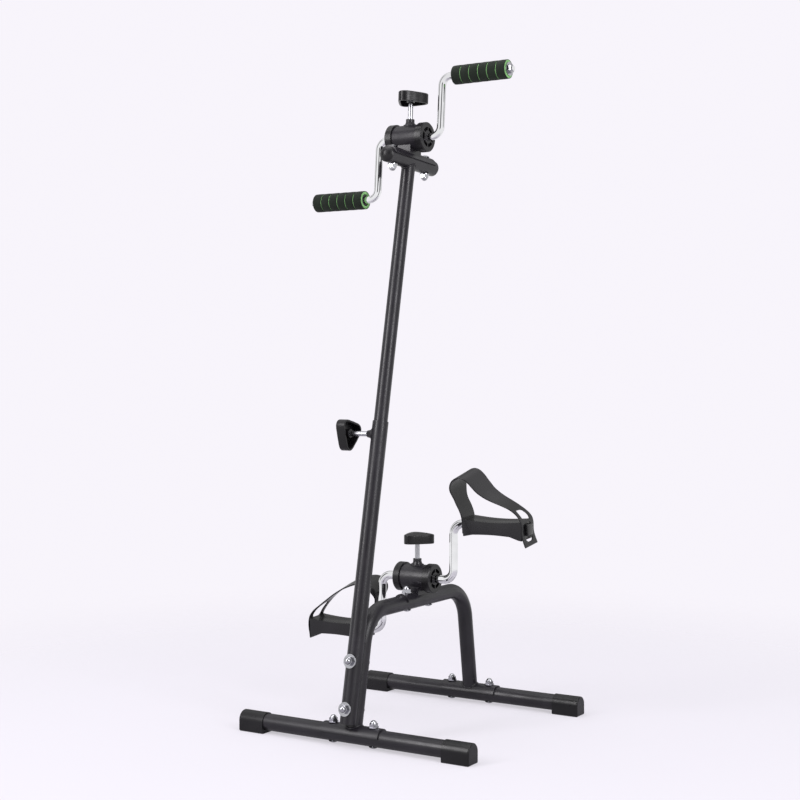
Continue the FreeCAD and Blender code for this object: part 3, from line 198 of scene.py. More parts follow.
class StageSetup(bpy.types.PropertyGroup):
    camera: FloatVectorProperty(
        name="Camera place", description="Where the photograph was taken from", subtype="TRANSLATION",
        size=3, default=(1.28566, -2.10193, 0.58435),
    )
    yaw: FloatProperty(
        name="Camera yaw", description="Turn about the vertical", default=0.55729, unit="ROTATION"
    )
    pitch: FloatProperty(
        name="Camera pitch", description="Tilt above the horizon", default=-0.021375, unit="ROTATION"
    )
    lens: FloatProperty(name="Focal length", description="In millimetres on a 36 mm sensor", default=67.774)
    floor: FloatVectorProperty(
        name="Floor", description="Pale studio floor", subtype="COLOR", size=3, min=0, max=1,
        default=(0.28, 0.27, 0.3),
    )
    backdrop: FloatVectorProperty(
        name="Backdrop", description="Pale studio backdrop", subtype="COLOR", size=3, min=0, max=1,
        default=(0.938, 0.91, 0.968),
    )
    walls: FloatProperty(
        name="Walls", description="Brightness of the studio's walls in light and reflections", default=0.95
    )


SETTINGS = {
    "exerciser_colours": FinishColours,
    "exerciser_grips": GripSizes,
    "exerciser_straps": StrapSizes,
    "exerciser_pedals": PedalSizes,
    "exerciser_knobs": KnobSizes,
    "exerciser_welds": WeldSizes,
    "exerciser_stage": StageSetup,
}


# Shader node groups


def new_group(name, inputs, outputs):
    group = bpy.data.node_groups.new(name, "ShaderNodeTree")
    for label, kind, value in inputs:
        socket = group.interface.new_socket(label, in_out="INPUT", socket_type=kind)
        if value is not None:
            socket.default_value = value
    for label, kind in outputs:
        group.interface.new_socket(label, in_out="OUTPUT", socket_type=kind)
    return group, group.nodes.new("NodeGroupInput"), group.nodes.new("NodeGroupOutput")


def node(tree, kind, inputs=(), **settings):
    """A node with its settings, and its inputs by name or number as output sockets or plain values."""
    made = tree.nodes.new(kind)
    for name, value in settings.items():
        setattr(made, name, value)
    for name, given in dict(inputs).items():
        if isinstance(given, bpy.types.NodeSocket):
            tree.links.new(given, made.inputs[name])
        else:
            made.inputs[name].default_value = given
    return made


def noise(tree, start, detail, inputs=()):
    """Noise at a group's own vector and scale."""
    basic = {"Vector": start.outputs["Vector"], "Scale": start.outputs["Scale"], "Detail": detail}
    return node(tree, "ShaderNodeTexNoise", {**basic, **dict(inputs)}).outputs["Fac"]


def mixed_colour(tree, share, first, second):
    """A colour between two, by a share from 0 to 1."""
    return node(tree, "ShaderNodeMix", {0: share, 6: first, 7: second}, data_type="RGBA").outputs[2]


# Scale of the slow grain as a share of the fine grain's, and the middle part of the noise that is spread out
COARSE_SHARE = 0.12
CLOUD_SPREAD = {"From Min": 0.3, "From Max": 0.7}


def grain_group():
    """Fine moulded or sprayed texture: two sizes of noise as a height."""
    group, start, end = new_group(
        "fine_grain",
        [
            ("Vector", "NodeSocketVector", None), ("Scale", "NodeSocketFloat", 900.0),
            ("Coarse", "NodeSocketFloat", 0.35),
        ],
        [("Height", "NodeSocketFloat")],
    )
    fine = noise(group, start, 3.0)
    wide = node(group, "ShaderNodeMath", {0: start.outputs["Scale"], 1: COARSE_SHARE}, operation="MULTIPLY")
    slow = noise(group, start, 2.0, {"Scale": wide.outputs[0]})
    mix = node(group, "ShaderNodeMix", {"Factor": start.outputs["Coarse"], "A": fine, "B": slow})
    group.links.new(mix.outputs["Result"], end.inputs["Height"])
    return group


def handling_group():
    """Uneven gloss from handling, as a factor from low to high."""
    group, start, end = new_group(
        "handling",
        [
            ("Vector", "NodeSocketVector", None), ("Scale", "NodeSocketFloat", 18.0),
            ("Low", "NodeSocketFloat", 0.4), ("High", "NodeSocketFloat", 0.55),
        ],
        [("Value", "NodeSocketFloat")],
    )
    cloud = noise(group, start, 5.0, {"Roughness": 0.6})
    limits = {"To Min": start.outputs["Low"], "To Max": start.outputs["High"]}
    spread = node(group, "ShaderNodeMapRange", {"Value": cloud, **CLOUD_SPREAD, **limits})
    group.links.new(spread.outputs["Result"], end.inputs["Value"])
    return group


def tint_group():
    """A base colour with slow light and dark variation."""
    group, start, end = new_group(
        "tint_variation",
        [
            ("Vector", "NodeSocketVector", None), ("Scale", "NodeSocketFloat", 25.0),
            ("Dark", "NodeSocketColor", (0.02, 0.02, 0.02, 1)),
            ("Light", "NodeSocketColor", (0.04, 0.04, 0.04, 1)),
        ],
        [("Color", "NodeSocketColor")],
    )
    spread = node(group, "ShaderNodeMapRange", {"Value": noise(group, start, 4.0), **CLOUD_SPREAD})
    mixed = mixed_colour(group, spread.outputs["Result"], start.outputs["Dark"], start.outputs["Light"])
    group.links.new(mixed, end.inputs["Color"])
    return group


def foam_group():
    """Open foam cells as a height."""
    group, start, end = new_group(
        "foam_cells",
        [("Vector", "NodeSocketVector", None), ("Scale", "NodeSocketFloat", 1100.0)],
        [("Height", "NodeSocketFloat")],
    )
    cells = node(
        group, "ShaderNodeTexVoronoi", {"Vector": start.outputs["Vector"], "Scale": start.outputs["Scale"]},
        feature="SMOOTH_F1",
    )
    pores = noise(group, start, 4.0)
    total = node(group, "ShaderNodeMath", {0: cells.outputs["Distance"], 1: pores}, operation="MULTIPLY")
    group.links.new(total.outputs[0], end.inputs["Height"])
    return group


def thread_group():
    """A screw thread's waves along Z as a height."""
    group, start, end = new_group(
        "screw_thread",
        [("Vector", "NodeSocketVector", None), ("Pitch", "NodeSocketFloat", 1.25 * MM)],
        [("Height", "NodeSocketFloat")],
    )
    along = node(group, "ShaderNodeSeparateXYZ", {0: start.outputs["Vector"]}).outputs["Z"]
    turns = node(group, "ShaderNodeMath", {0: along, 1: start.outputs["Pitch"]}, operation="DIVIDE")
    wave = node(group, "ShaderNodeMath", {0: turns.outputs[0], 1: 0.5}, operation="PINGPONG")
    group.links.new(wave.outputs[0], end.inputs["Height"])
    return group


def placed_group(tree, group, vector, **values):
    made = tree.nodes.new("ShaderNodeGroup")
    made.node_tree = group
    tree.links.new(vector, made.inputs["Vector"])
    for name, value in values.items():
        made.inputs[name].default_value = value
    return made


def rgba(colour, gain=1.0):
    return tuple(min(1.0, part * gain) for part in colour) + (1.0,)


# Sprayed and moulded finishes: colour, lowest and highest roughness, grain scale, grain depth and gloss
COATS = {
    "black_paint": ("paint", 0.27, 0.4, 620.0, 0.22, 0.34),
    "housing_paint": ("paint", 0.3, 0.42, 620.0, 0.22, 0.2),
    "black_plastic": ("plastic", 0.24, 0.36, 1500.0, 0.16, 0.26),
    "pedal_plastic": ("pedal", 0.2, 0.3, 1100.0, 0.25, 0.42),
    "strap_rubber": ("strap", 0.22, 0.34, 1300.0, 0.22, 0.3),
    "brake_pad": ("felt", 0.5, 0.65, 900.0, 0.25, 0.5),
}
FOAMS = {"grip_black": "foam", "grip_green": "foam_core"}
# Bare metals: colour, lowest and highest roughness, grain scale and grain depth
METALS = {
    "chrome_rod": ("chrome", 0.02, 0.05, 40.0, 0.012),
    "bright_zinc": ("zinc", 0.1, 0.2, 160.0, 0.12),
    "inner_steel": ("steel", 0.3, 0.45, 90.0, 0.2),
}
THREAD_ROUGHNESS = (0.22, 0.34)
FOAM_ROUGHNESS = (0.75, 0.95)
CELL_SCALE = 1250.0
# Brightest part of the slow colour variation, as a share of the colour, and the darkest
LIGHT_COAT, LIGHT_FOAM, LIGHT_METAL, DARK = 1.5, 1.8, 1.08, 0.85
TINT_SCALE, HANDLING_SCALE = 22.0, 30.0


class Finishes:
    """The materials of the exerciser, one for each finish."""

    def __init__(self, colours):
        self.grain = grain_group()
        self.handling = handling_group()
        self.tint = tint_group()
        self.foam = foam_group()
        self.thread = thread_group()
        self.made = {}
        for make, table in ((self.coat, COATS), (self.metal, METALS)):
            for name, (colour, *values) in table.items():
                self.made[name] = make(name, getattr(colours, colour), *values)
        for name, colour in FOAMS.items():
            self.made[name] = self.foamed(name, getattr(colours, colour))

    def new_material(self, name):
        material = bpy.data.materials.new(name)
        material.use_nodes = True
        tree = material.node_tree
        shader = tree.nodes["Principled BSDF"]
        place = tree.nodes.new("ShaderNodeTexCoord").outputs["Object"]
        return material, tree, shader, place

    def bump(self, tree, shader, height, strength, distance):
        bump = node(tree, "ShaderNodeBump", {"Height": height, "Strength": strength, "Distance": distance})
        tree.links.new(bump.outputs["Normal"], shader.inputs["Normal"])

    def surface(self, tree, shader, place, colour, low, high, light):
        """Colour and roughness that vary slowly over the piece."""
        limits = {"Dark": rgba(colour, DARK), "Light": rgba(colour, light)}
        tint = placed_group(tree, self.tint, place, Scale=TINT_SCALE, **limits)
        gloss = placed_group(tree, self.handling, place, Scale=HANDLING_SCALE, Low=low, High=high)
        tree.links.new(tint.outputs["Color"], shader.inputs["Base Color"])
        tree.links.new(gloss.outputs["Value"], shader.inputs["Roughness"])

    def coat(self, name, colour, low, high, scale, strength, specular):
        material, tree, shader, place = self.new_material(name)
        self.surface(tree, shader, place, colour, low, high, LIGHT_COAT)
        grain = placed_group(tree, self.grain, place, Scale=scale)
        self.bump(tree, shader, grain.outputs["Height"], strength, 0.25 * MM)
        shader.inputs["Specular IOR Level"].default_value = specular
        return material

    def foamed(self, name, colour):
        material, tree, shader, place = self.new_material(name)
        self.surface(tree, shader, place, colour, *FOAM_ROUGHNESS, LIGHT_FOAM)
        cells = placed_group(tree, self.foam, place, Scale=CELL_SCALE)
        self.bump(tree, shader, cells.outputs["Height"], 0.7, 0.5 * MM)
        shader.inputs["Sheen Weight"].default_value = 0.04
        shader.inputs["Sheen Roughness"].default_value = 0.6
        shader.inputs["Specular IOR Level"].default_value = 0.15
        return material

    def metal(self, name, colour, low, high, scale, strength):
        material, tree, shader, place = self.new_material(name)
        self.surface(tree, shader, place, colour, low, high, LIGHT_METAL)
        grain = placed_group(tree, self.grain, place, Scale=scale)
        self.bump(tree, shader, grain.outputs["Height"], strength, 0.1 * MM)
        shader.inputs["Metallic"].default_value = 1.0
        return material

    def threaded(self, name, colour, axis_turn):
        """Zinc with a thread along the screw's own axis."""
        material, tree, shader, place = self.new_material(name)
        self.surface(tree, shader, place, colour, *THREAD_ROUGHNESS, LIGHT_METAL)
        along = node(tree, "ShaderNodeMapping", {"Vector": place, "Rotation": axis_turn})
        thread = placed_group(tree, self.thread, along.outputs["Vector"])
        self.bump(tree, shader, thread.outputs["Height"], 0.12, 0.25 * MM)
        shader.inputs["Metallic"].default_value = 1.0
        return material


FINISHES = None


def finishes():
    global FINISHES
    if FINISHES is None:
        FINISHES = Finishes(bpy.context.scene.exerciser_colours)
    return FINISHES


def slot_of(name):
    return next(part["material_slot"] for part in frame["record"]["subparts"] if part["node"] == name)


def give_material(thing, material):
    thing.data.materials.clear()
    thing.data.materials.append(material)


# Mesh helpers

# Edges sharper than this many degrees stay sharp in shading
SMOOTH_ANGLE = 35


def finish_piece(name, bm, body, slot, place, replaces=(), smooth_angle=SMOOTH_ANGLE):
    """Make an object of a bmesh, with its place in its mesh, riding on a body."""
    bmesh.ops.transform(bm, matrix=place, verts=bm.verts)
    bmesh.ops.recalc_face_normals(bm, faces=bm.faces)
    mesh = bpy.data.meshes.new(name)
    bm.to_mesh(mesh)
    bm.free()
    piece = bpy.data.objects.new(name, mesh)
    bpy.context.scene.collection.objects.link(piece)
    give_material(piece, finishes().made[slot])
    mesh.shade_smooth()
    mesh.set_sharp_from_angle(angle=math.radians(smooth_angle))
    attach(piece, body)
    if replaces:
        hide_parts(*replaces)
    return piece


def rounded(points, radius, steps=4):
    """Points of a closed profile with each corner cut to an arc."""
    result = []
    count = len(points)
    for index, corner in enumerate(points):
        here = Vector(corner)
        before = Vector(points[index - 1]) - here
        after = Vector(points[(index + 1) % count]) - here
        reach = min(radius, before.length * 0.45, after.length * 0.45)
        start = here + before.normalized() * reach
        end = here + after.normalized() * reach
        for step in range(steps + 1):
            share = step / steps
            curve = start.lerp(here, share).lerp(here.lerp(end, share), share)
            result.append(tuple(curve))
    return result


def spin_ring(bm, corners, rounding, steps=64):
    """Spin a closed profile of rounded corners (radius, height) round Z."""
    points = rounded(corners, rounding)
    verts = [bm.verts.new((point[0], 0, point[1])) for point in points]
    edges = [bm.edges.new(pair) for pair in zip(verts, verts[1:] + verts[:1])]
    bmesh.ops.spin(
        bm, geom=verts + edges, cent=(0, 0, 0), axis=(0, 0, 1), angle=FULL_TURN, steps=steps, use_merge=True
    )
    bmesh.ops.remove_doubles(bm, verts=bm.verts, dist=1e-6)


def tube_corners(bore, radius, low, high):
    """Corners (radius, height) of the wall of a tube that stands on Z."""
    return [(bore, low), (radius, low), (radius, high), (bore, high)]


TURN_TO_X = Matrix.Rotation(math.pi / 2, 4, "Y")
TURN_TO_Y = Matrix.Rotation(-math.pi / 2, 4, "X")


# Hand grips

# Swell of a foam band above its edges
BAND_SWELL = 0.25 * MM
# Green core: gap below the grooves, gap round the liner, and how far it stands out at the ends
CORE_DROP = 0.05 * MM
CORE_GAP = 0.1 * MM
CORE_PROUD = 0.15 * MM
CORE_ROUND = 1.0 * MM
# Hard tube inside the foam: bore, how far it is set back from the ends, and its rounding
LINER_BORE = 6.2 * MM
LINER_SETBACK = 1.2 * MM
LINER_ROUND = 0.3 * MM


def grip_bands(sizes, inner, outer, radius):
    """Black foam bands with soft edges, one after another along Z."""
    bm = bmesh.new()
    pitch = (outer - inner) / sizes.bands
    floor = radius - sizes.groove_depth
    for band in range(sizes.bands):
        low = inner + band * pitch + (sizes.groove / 2 if band else 0)
        high = inner + (band + 1) * pitch - (sizes.groove / 2 if band < sizes.bands - 1 else 0)
        middle = (low + high) / 2
        corners = [
            (floor, low),
            (radius - BAND_SWELL, low),
            (radius, middle),
            (radius - BAND_SWELL, high),
            (floor, high),
        ]
        spin_ring(bm, corners, sizes.band_round)
    return bm


class EXERCISER_OT_grips(bpy.types.Operator):
    """Make the two foam grips: black bands over a green core on a hard liner"""

    bl_idname = "exerciser.make_grips"
    bl_label = "Make the hand grips"

    def execute(self, context):
        sizes = context.scene.exerciser_grips
        for side_name, side in SIDES:
            low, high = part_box(side_name + "_grip_skin")
            centre = joint_point(side_name + "_grip_spin")
            half = (high.x - low.x) / 2
            radius = (high.y - low.y) / 2
            place = Matrix.Translation(centre) @ Matrix.Rotation(side * math.pi / 2, 4, "Y")
            body = side_name + "_grip"
            foam = grip_bands(sizes, -half, half, radius)
            finish_piece(body + "_foam", foam, body, "grip_black", place, [body + "_skin"])
            core = bmesh.new()
            core_radius = radius - sizes.groove_depth - CORE_DROP
            reach = half + CORE_PROUD
            spin_ring(core, tube_corners(sizes.liner + CORE_GAP, core_radius, -reach, reach), CORE_ROUND)
            finish_piece(body + "_green", core, body, "grip_green", place, [body + "_core"])
            liner = bmesh.new()
            reach = half - LINER_SETBACK
            spin_ring(liner, tube_corners(LINER_BORE, sizes.liner, -reach, reach), LINER_ROUND)
            finish_piece(body + "_liner", liner, body, "black_plastic", place)
        return {"FINISHED"}


# Places of the pedals

# Pitch of each pedal about its rod, in degrees
PEDAL_PITCH = {"right": 5.0, "left": 4.0}
# Ends along the rod, half width, top and bottom of a pedal, in the rod's own frame
PEDAL_INNER = 97.0 * MM
PEDAL_OUTER = 202.6 * MM
PEDAL_HALF_WIDTH = 21.0 * MM
PEDAL_TOP = 11.8 * MM
PEDAL_BOTTOM = -17.5 * MM
PEDAL_MIDDLE = (PEDAL_INNER + PEDAL_OUTER) / 2


def pedal_place(side_name, side):
    """The frame of a pedal: X runs outwards along the rod from the object's middle, Z up."""
    centre = joint_point(side_name + "_pedal_spin")
    centre.x = 0
    pitch = math.radians(PEDAL_PITCH[side_name])
    return Matrix.Translation(centre) @ Matrix.Rotation(pitch, 4, "X") @ Matrix.Scale(side, 4, (1, 0, 0))


# Foot straps


def smoothstep(low, high, value):
    share = min(1.0, max(0.0, (value - low) / (high - low)))
    return share * share * (3 - 2 * share)


def smooth_route(knots, spacing):
    """Evenly spaced knots on a smooth curve through a table of knots."""
    rows = [Vector(knot) for knot in knots]
    ends = [rows[0] * 2 - rows[1]] + rows + [rows[-1] * 2 - rows[-2]]
    fine = []
    for before, here, ahead, after in zip(ends, ends[1:], ends[2:], ends[3:]):
        for step in range(8):
            share = step / 8
            bend = (before * -1 + here * 3 - ahead * 3 + after) * share ** 3
            bow = (before * 2 - here * 5 + ahead * 4 - after) * share ** 2
            fine.append((bend + bow + (ahead - before) * share + here * 2) / 2)
    fine.append(rows[-1])
    lengths = [0.0]
    for first, second in zip(fine, fine[1:]):
        lengths.append(lengths[-1] + (second.xy - first.xy).length)
    count = round(lengths[-1] / spacing)
    even = []
    index = 0
    for step in range(count + 1):
        distance = lengths[-1] * step / count
        while index < len(fine) - 2 and lengths[index + 1] < distance:
            index += 1
        span = lengths[index + 1] - lengths[index]
        even.append(fine[index].lerp(fine[index + 1], (distance - lengths[index]) / span if span else 0.0))
    return even


# Middle line of each strap in millimetres: out along the pedal, up, lean in degrees, sideways shift
STRAP_KNOTS = {
    "right": [
        (95.8, -12, 0, 0), (95.8, 3, 0, 0), (95.0, 16, 1, -0.8), (91.4, 27, 2, -1.3),
        (86.2, 38, 3, -1.8), (82.4, 50, 3, -2.4), (80.6, 61, 4, -3), (81.8, 71, 6, -3.5),
        (86.6, 79, 8, -4), (94.2, 83.6, 8.5, -4.1), (102.2, 84.4, 8.5, -4.1), (110, 81.6, 8, -4),
        (117.6, 75, 7, -3.6), (125.2, 66.2, 5, -3.1), (134, 57.2, 4, -2.6), (144.4, 50.2, 5, -2.3),
        (157, 44, 4, -2), (171, 38, 1, -1.7), (184, 31.6, -2, -1.4), (195.4, 23.6, -2, -1),
        (201.8, 15.4, 0, -0.6), (203.9, 7, 0, -0.2), (203.9, -6.5, 0, 0), (206.2, -17, 2, 0),
        (210, -27.5, 3, 0),
    ],
    "left": [
        (95.8, -12, 0, 0), (95.8, 1, 0, 0), (95.2, 11, 0, 3), (91.6, 21, 0, 8), (86.4, 31, 0, 12),
        (82, 41, 0, 14), (79.6, 52, 0, 15), (79.8, 63, 1, 15), (83.4, 72.5, 2, 14.5), (91, 79.4, 3, 14),
        (101, 81.2, 4, 14), (113, 79, 6, 14), (126, 75, 7, 14), (140, 69.4, 8, 14), (154, 61.8, 9, 14),
        (167, 53.2, 10, 12), (178, 44.6, 10, 9), (188, 35.6, 7, 6), (196.4, 26, 2, 2), (202.6, 16, 0, 0),
        (205.4, 5.6, 0, 0), (205.6, -6, 0, 0), (204.4, -14, 0, 0), (203.9, -22.5, 0, 0),
    ],
}
STRAP_STEP = 1.9 * MM
STRAP_SMOOTH_ANGLE = 60
# Lines along a strap as shares of its half width, and the numbers of the two beside the slots
STRAP_COLUMNS = (-1.0, -0.93, -0.72, -0.5, -0.25, 0.0, 0.25, 0.5, 0.72, 0.93, 1.0)
SLOT_COLUMNS = (3, 7)
# Lower and upper ends of the slots in the outer end of each strap, in millimetres
STRAP_SLOTS = {"right": ((-19.5, 9.5), (12.5, 29.0)), "left": ((-18.0, 7.5), (11.0, 36.5))}
# Share of the slot's width left at its very end, and how far past the end its lines are still bent
SLOT_END_SHARE = 0.45
SLOT_MARGIN = 2 * MM
# Heights between which a strap grows from narrow to wide
WIDENING = (40 * MM, 64 * MM)
# The left strap is squeezed at its inner end: how much, and where this sets in and ends
SQUEEZE = 8.0 * MM
SQUEEZE_START = (0, 12 * MM)
SQUEEZE_END = (50 * MM, 68 * MM)


def strap_half_width(sizes, side_name, out, up):
    half = (sizes.narrow + (sizes.wide - sizes.narrow) * smoothstep(*WIDENING, up)) / 2
    if side_name == "left" and out < PEDAL_MIDDLE:
        half -= SQUEEZE * smoothstep(*SQUEEZE_START, up) * (1 - smoothstep(*SQUEEZE_END, up))
    return half


def slot_half_width(sizes, slots, out, up):
    """Half the distance of the lines beside the slots, drawn in round the slots' ends."""
    half = sizes.slot / 2
    if out > PEDAL_MIDDLE:
        for low, high in slots:
            if low - SLOT_MARGIN < up < high + SLOT_MARGIN:
                left = min(1.0, max(0.0, min(up - low, high - up) / sizes.slot_round))
                rise = math.sqrt(1 - (1 - left) ** 2)
                return half * (SLOT_END_SHARE + (1 - SLOT_END_SHARE) * rise)
    return half


def strap_mesh(sizes, side_name):
    """A flat grid laid along the strap's route, with its slots cut out, then given its thickness."""
    knots = [
        (out * MM, up * MM, math.radians(lean), shift * MM)
        for out, up, lean, shift in STRAP_KNOTS[side_name]
    ]
    rows = smooth_route(knots, STRAP_STEP)
    slots = [(low * MM, high * MM) for low, high in STRAP_SLOTS[side_name]]
    count = len(rows)
    columns = len(STRAP_COLUMNS)
    bm = bmesh.new()
    bmesh.ops.create_grid(bm, x_segments=count - 1, y_segments=columns - 1, size=1.0)
    place = {}
    for vert in bm.verts:
        row = round((vert.co.x + 1) / 2 * (count - 1))
        column = round((vert.co.y + 1) / 2 * (columns - 1))
        place[vert] = (row, column)
    doomed = []
    for face in bm.faces:
        places = [place[vert] for vert in face.verts]
        height = sum(rows[row].y for row, _ in places) / 4
        in_slot = all(SLOT_COLUMNS[0] <= column <= SLOT_COLUMNS[1] for _, column in places)
        outer = rows[places[0][0]].x > PEDAL_MIDDLE
        if in_slot and outer and any(low < height < high for low, high in slots):
            doomed.append(face)
    for vert in bm.verts:
        row, column = place[vert]
        out, up, lean, shift = rows[row]
        share = STRAP_COLUMNS[column]
        half = strap_half_width(sizes, side_name, out, up)
        slot_half = slot_half_width(sizes, slots, out, up)
        reach = {0.25: slot_half / 2, 0.5: slot_half, 0.72: (slot_half + half * 0.93) / 2}
        across = math.copysign(reach.get(abs(share), half * abs(share)), share)
        vert.co = Vector((out, across * math.cos(lean) + shift, up + across * math.sin(lean)))
    bmesh.ops.delete(bm, geom=doomed, context="FACES")
    bmesh.ops.recalc_face_normals(bm, faces=bm.faces)
    bmesh.ops.solidify(bm, geom=bm.faces[:], thickness=sizes.thickness)
    return bm


class EXERCISER_OT_straps(bpy.types.Operator):
    """Make the two rubber straps that hook over the pedals' outer pegs"""

    bl_idname = "exerciser.make_straps"
    bl_label = "Make the foot straps"

    def execute(self, context):
        sizes = context.scene.exerciser_straps
        for side_name, side in SIDES:
            bm = strap_mesh(sizes, side_name)
            piece = finish_piece(
                side_name + "_rubber_strap", bm, side_name + "_pedal", "strap_rubber",
                pedal_place(side_name, side), [side_name + "_pedal_strap"], STRAP_SMOOTH_ANGLE,
            )
            soften = piece.modifiers.new("soft_edges", "SUBSURF")
            soften.levels = 2
            soften.render_levels = 2
        return {"FINISHED"}


# Pedals


def carve(piece, cutters):
    """Cut boxes and bores out of a finished piece and keep the result in its mesh."""
    tools = []
    for number, cutter in enumerate(cutters):
        mesh = bpy.data.meshes.new(f"{piece.name}_cutter_{number}")
        bmesh.ops.recalc_face_normals(cutter, faces=cutter.faces)
        cutter.to_mesh(mesh)
        cutter.free()
        tool = bpy.data.objects.new(mesh.name, mesh)
        bpy.context.scene.collection.objects.link(tool)
        tools.append(tool)
        modifier = piece.modifiers.new("carve", "BOOLEAN")
        modifier.operation = "DIFFERENCE"
        modifier.solver = "EXACT"
        modifier.object = tool
    bpy.context.view_layer.update()
    evaluated = piece.evaluated_get(bpy.context.evaluated_depsgraph_get())
    result = bpy.data.meshes.new_from_object(evaluated)
    piece.modifiers.clear()
    old = piece.data
    piece.data = result
    result.name = piece.name
    bpy.data.meshes.remove(old)
    for tool in tools:
        bpy.data.meshes.remove(tool.data)


def box_bm(low, high, place=Matrix.Identity(4)):
    """A box between two corners."""
    bm = bmesh.new()
    bmesh.ops.create_cube(bm, size=1.0)
    size = Vector(high) - Vector(low)
    middle = (Vector(high) + Vector(low)) / 2
    matrix = place @ Matrix.Translation(middle) @ Matrix.Diagonal((*size, 1.0))
    bmesh.ops.transform(bm, matrix=matrix, verts=bm.verts)
    return bm


def rod_bm(radius, start, end, place):
    """A round bar along X from start to end."""
    bm = bmesh.new()
    bmesh.ops.create_cone(bm, cap_ends=True, segments=40, radius1=radius, radius2=radius, depth=end - start)
    matrix = place @ Matrix.Translation(((start + end) / 2, 0, 0)) @ TURN_TO_X
    bmesh.ops.transform(bm, matrix=matrix, verts=bm.verts)
    return bm


# Belly of a pedal: where it starts and ends, its height above the bottom and its bow
BELLY_START = PEDAL_INNER + 17 * MM
BELLY_END = PEDAL_OUTER - 22 * MM
BELLY_RISE = 4.7 * MM
BELLY_BOW = 1.1 * MM
BELLY_STEPS = 12
# How far the tread sags between the ends
TREAD_SAG = 3.2 * MM
TREAD_STEPS = 24
# Bore for the rod and the wider pocket for its retainer cup
ROD_BORE = 7.1 * MM
CUP_BORE = 9.8 * MM
# Stiffening cells in the underside: near side of each row, width, wall at the ends and between two, roof
CELL_ROWS = (11.0 * MM, -18.4 * MM)
CELL_WIDTH = 7.4 * MM
CELL_END_WALL = 9 * MM
CELL_WALL = 1.6 * MM
CELL_COUNT = 3
CELL_ROOF = 6.5 * MM
# Peg on the outer end that holds the strap: two corners and its rounding
PEG_LOW = (PEDAL_OUTER - 0.4 * MM, -9 * MM, -11.5 * MM)
PEG_HIGH = (PEDAL_OUTER + 6 * MM, 9 * MM, 6.5 * MM)
PEG_ROUND = 1.2 * MM


def pedal_outline():
    """The pedal seen from the side, as points (x, z): inner end, belly, outer end and sagging tread."""
    outline = [
        (PEDAL_INNER, PEDAL_TOP),
        (PEDAL_INNER, PEDAL_BOTTOM + 1.2 * MM),
        (PEDAL_INNER + 5 * MM, PEDAL_BOTTOM + 2.2 * MM),
    ]
    for step in range(BELLY_STEPS + 1):
        share = step / BELLY_STEPS
        bow = BELLY_BOW * math.sin(math.pi * share)
        outline.append((BELLY_START + (BELLY_END - BELLY_START) * share, PEDAL_BOTTOM + BELLY_RISE + bow))
    outline += [
        (PEDAL_OUTER - 7 * MM, PEDAL_BOTTOM),
        (PEDAL_OUTER, PEDAL_BOTTOM - 1.2 * MM),
        (PEDAL_OUTER, PEDAL_TOP),
    ]
    for step in range(1, TREAD_STEPS):
        share = step / TREAD_STEPS
        sag = TREAD_SAG * math.sin(math.pi * share)
        outline.append((PEDAL_OUTER - (PEDAL_OUTER - PEDAL_INNER) * share, PEDAL_TOP - sag))
    return outline


def pedal_block(sizes):
    """The pedal's side outline drawn out to its width, with rounded edges and a sunk tread."""
    bm = bmesh.new()
    verts = [bm.verts.new((x, -PEDAL_HALF_WIDTH, z)) for x, z in pedal_outline()]
    side = bm.faces.new(verts)
    drawn = bmesh.ops.extrude_face_region(bm, geom=[side])
    moved = [item for item in drawn["geom"] if isinstance(item, bmesh.types.BMVert)]
    bmesh.ops.translate(bm, verts=moved, vec=(0, 2 * PEDAL_HALF_WIDTH, 0))
    bmesh.ops.recalc_face_normals(bm, faces=bm.faces)
    tread = [face for face in bm.faces if face.normal.z > 0.7]
    inset = bmesh.ops.inset_region(bm, faces=tread, thickness=sizes.lip, depth=0)
    lip_edges = {edge for face in inset["faces"] for edge in face.edges}
    bmesh.ops.translate(
        bm, verts=list({vert for face in tread for vert in face.verts}), vec=(0, 0, -sizes.lip_height)
    )
    sharp = [
        edge for edge in bm.edges
        if len(edge.link_faces) == 2 and edge.calc_face_angle() > math.radians(40) and edge not in lip_edges
    ]
    bmesh.ops.bevel(
        bm, geom=sharp, offset=sizes.edge, segments=3, profile=0.5, affect="EDGES", material=-1,
        clamp_overlap=True,
    )
    return bm


def pedal_cutters(place):
    """What is cut out of a pedal: the rod's bore, the retainer's pocket and two rows of cells below."""
    cutters = [
        rod_bm(ROD_BORE, PEDAL_INNER - 2 * MM, PEDAL_OUTER - 8 * MM, place),
        rod_bm(CUP_BORE, PEDAL_OUTER - 12 * MM, PEDAL_OUTER - 2.6 * MM, place),
    ]
    first = PEDAL_INNER + CELL_END_WALL
    length = (PEDAL_OUTER - PEDAL_INNER - 2 * CELL_END_WALL) / CELL_COUNT
    for near in CELL_ROWS:
        for cell in range(CELL_COUNT):
            start = first + cell * length + CELL_WALL / 2
            low = (start, near, PEDAL_BOTTOM - 2 * MM)
            high = (start + length - CELL_WALL, near + CELL_WIDTH, PEDAL_TOP - CELL_ROOF)
            cutters.append(box_bm(low, high, place))
    return cutters


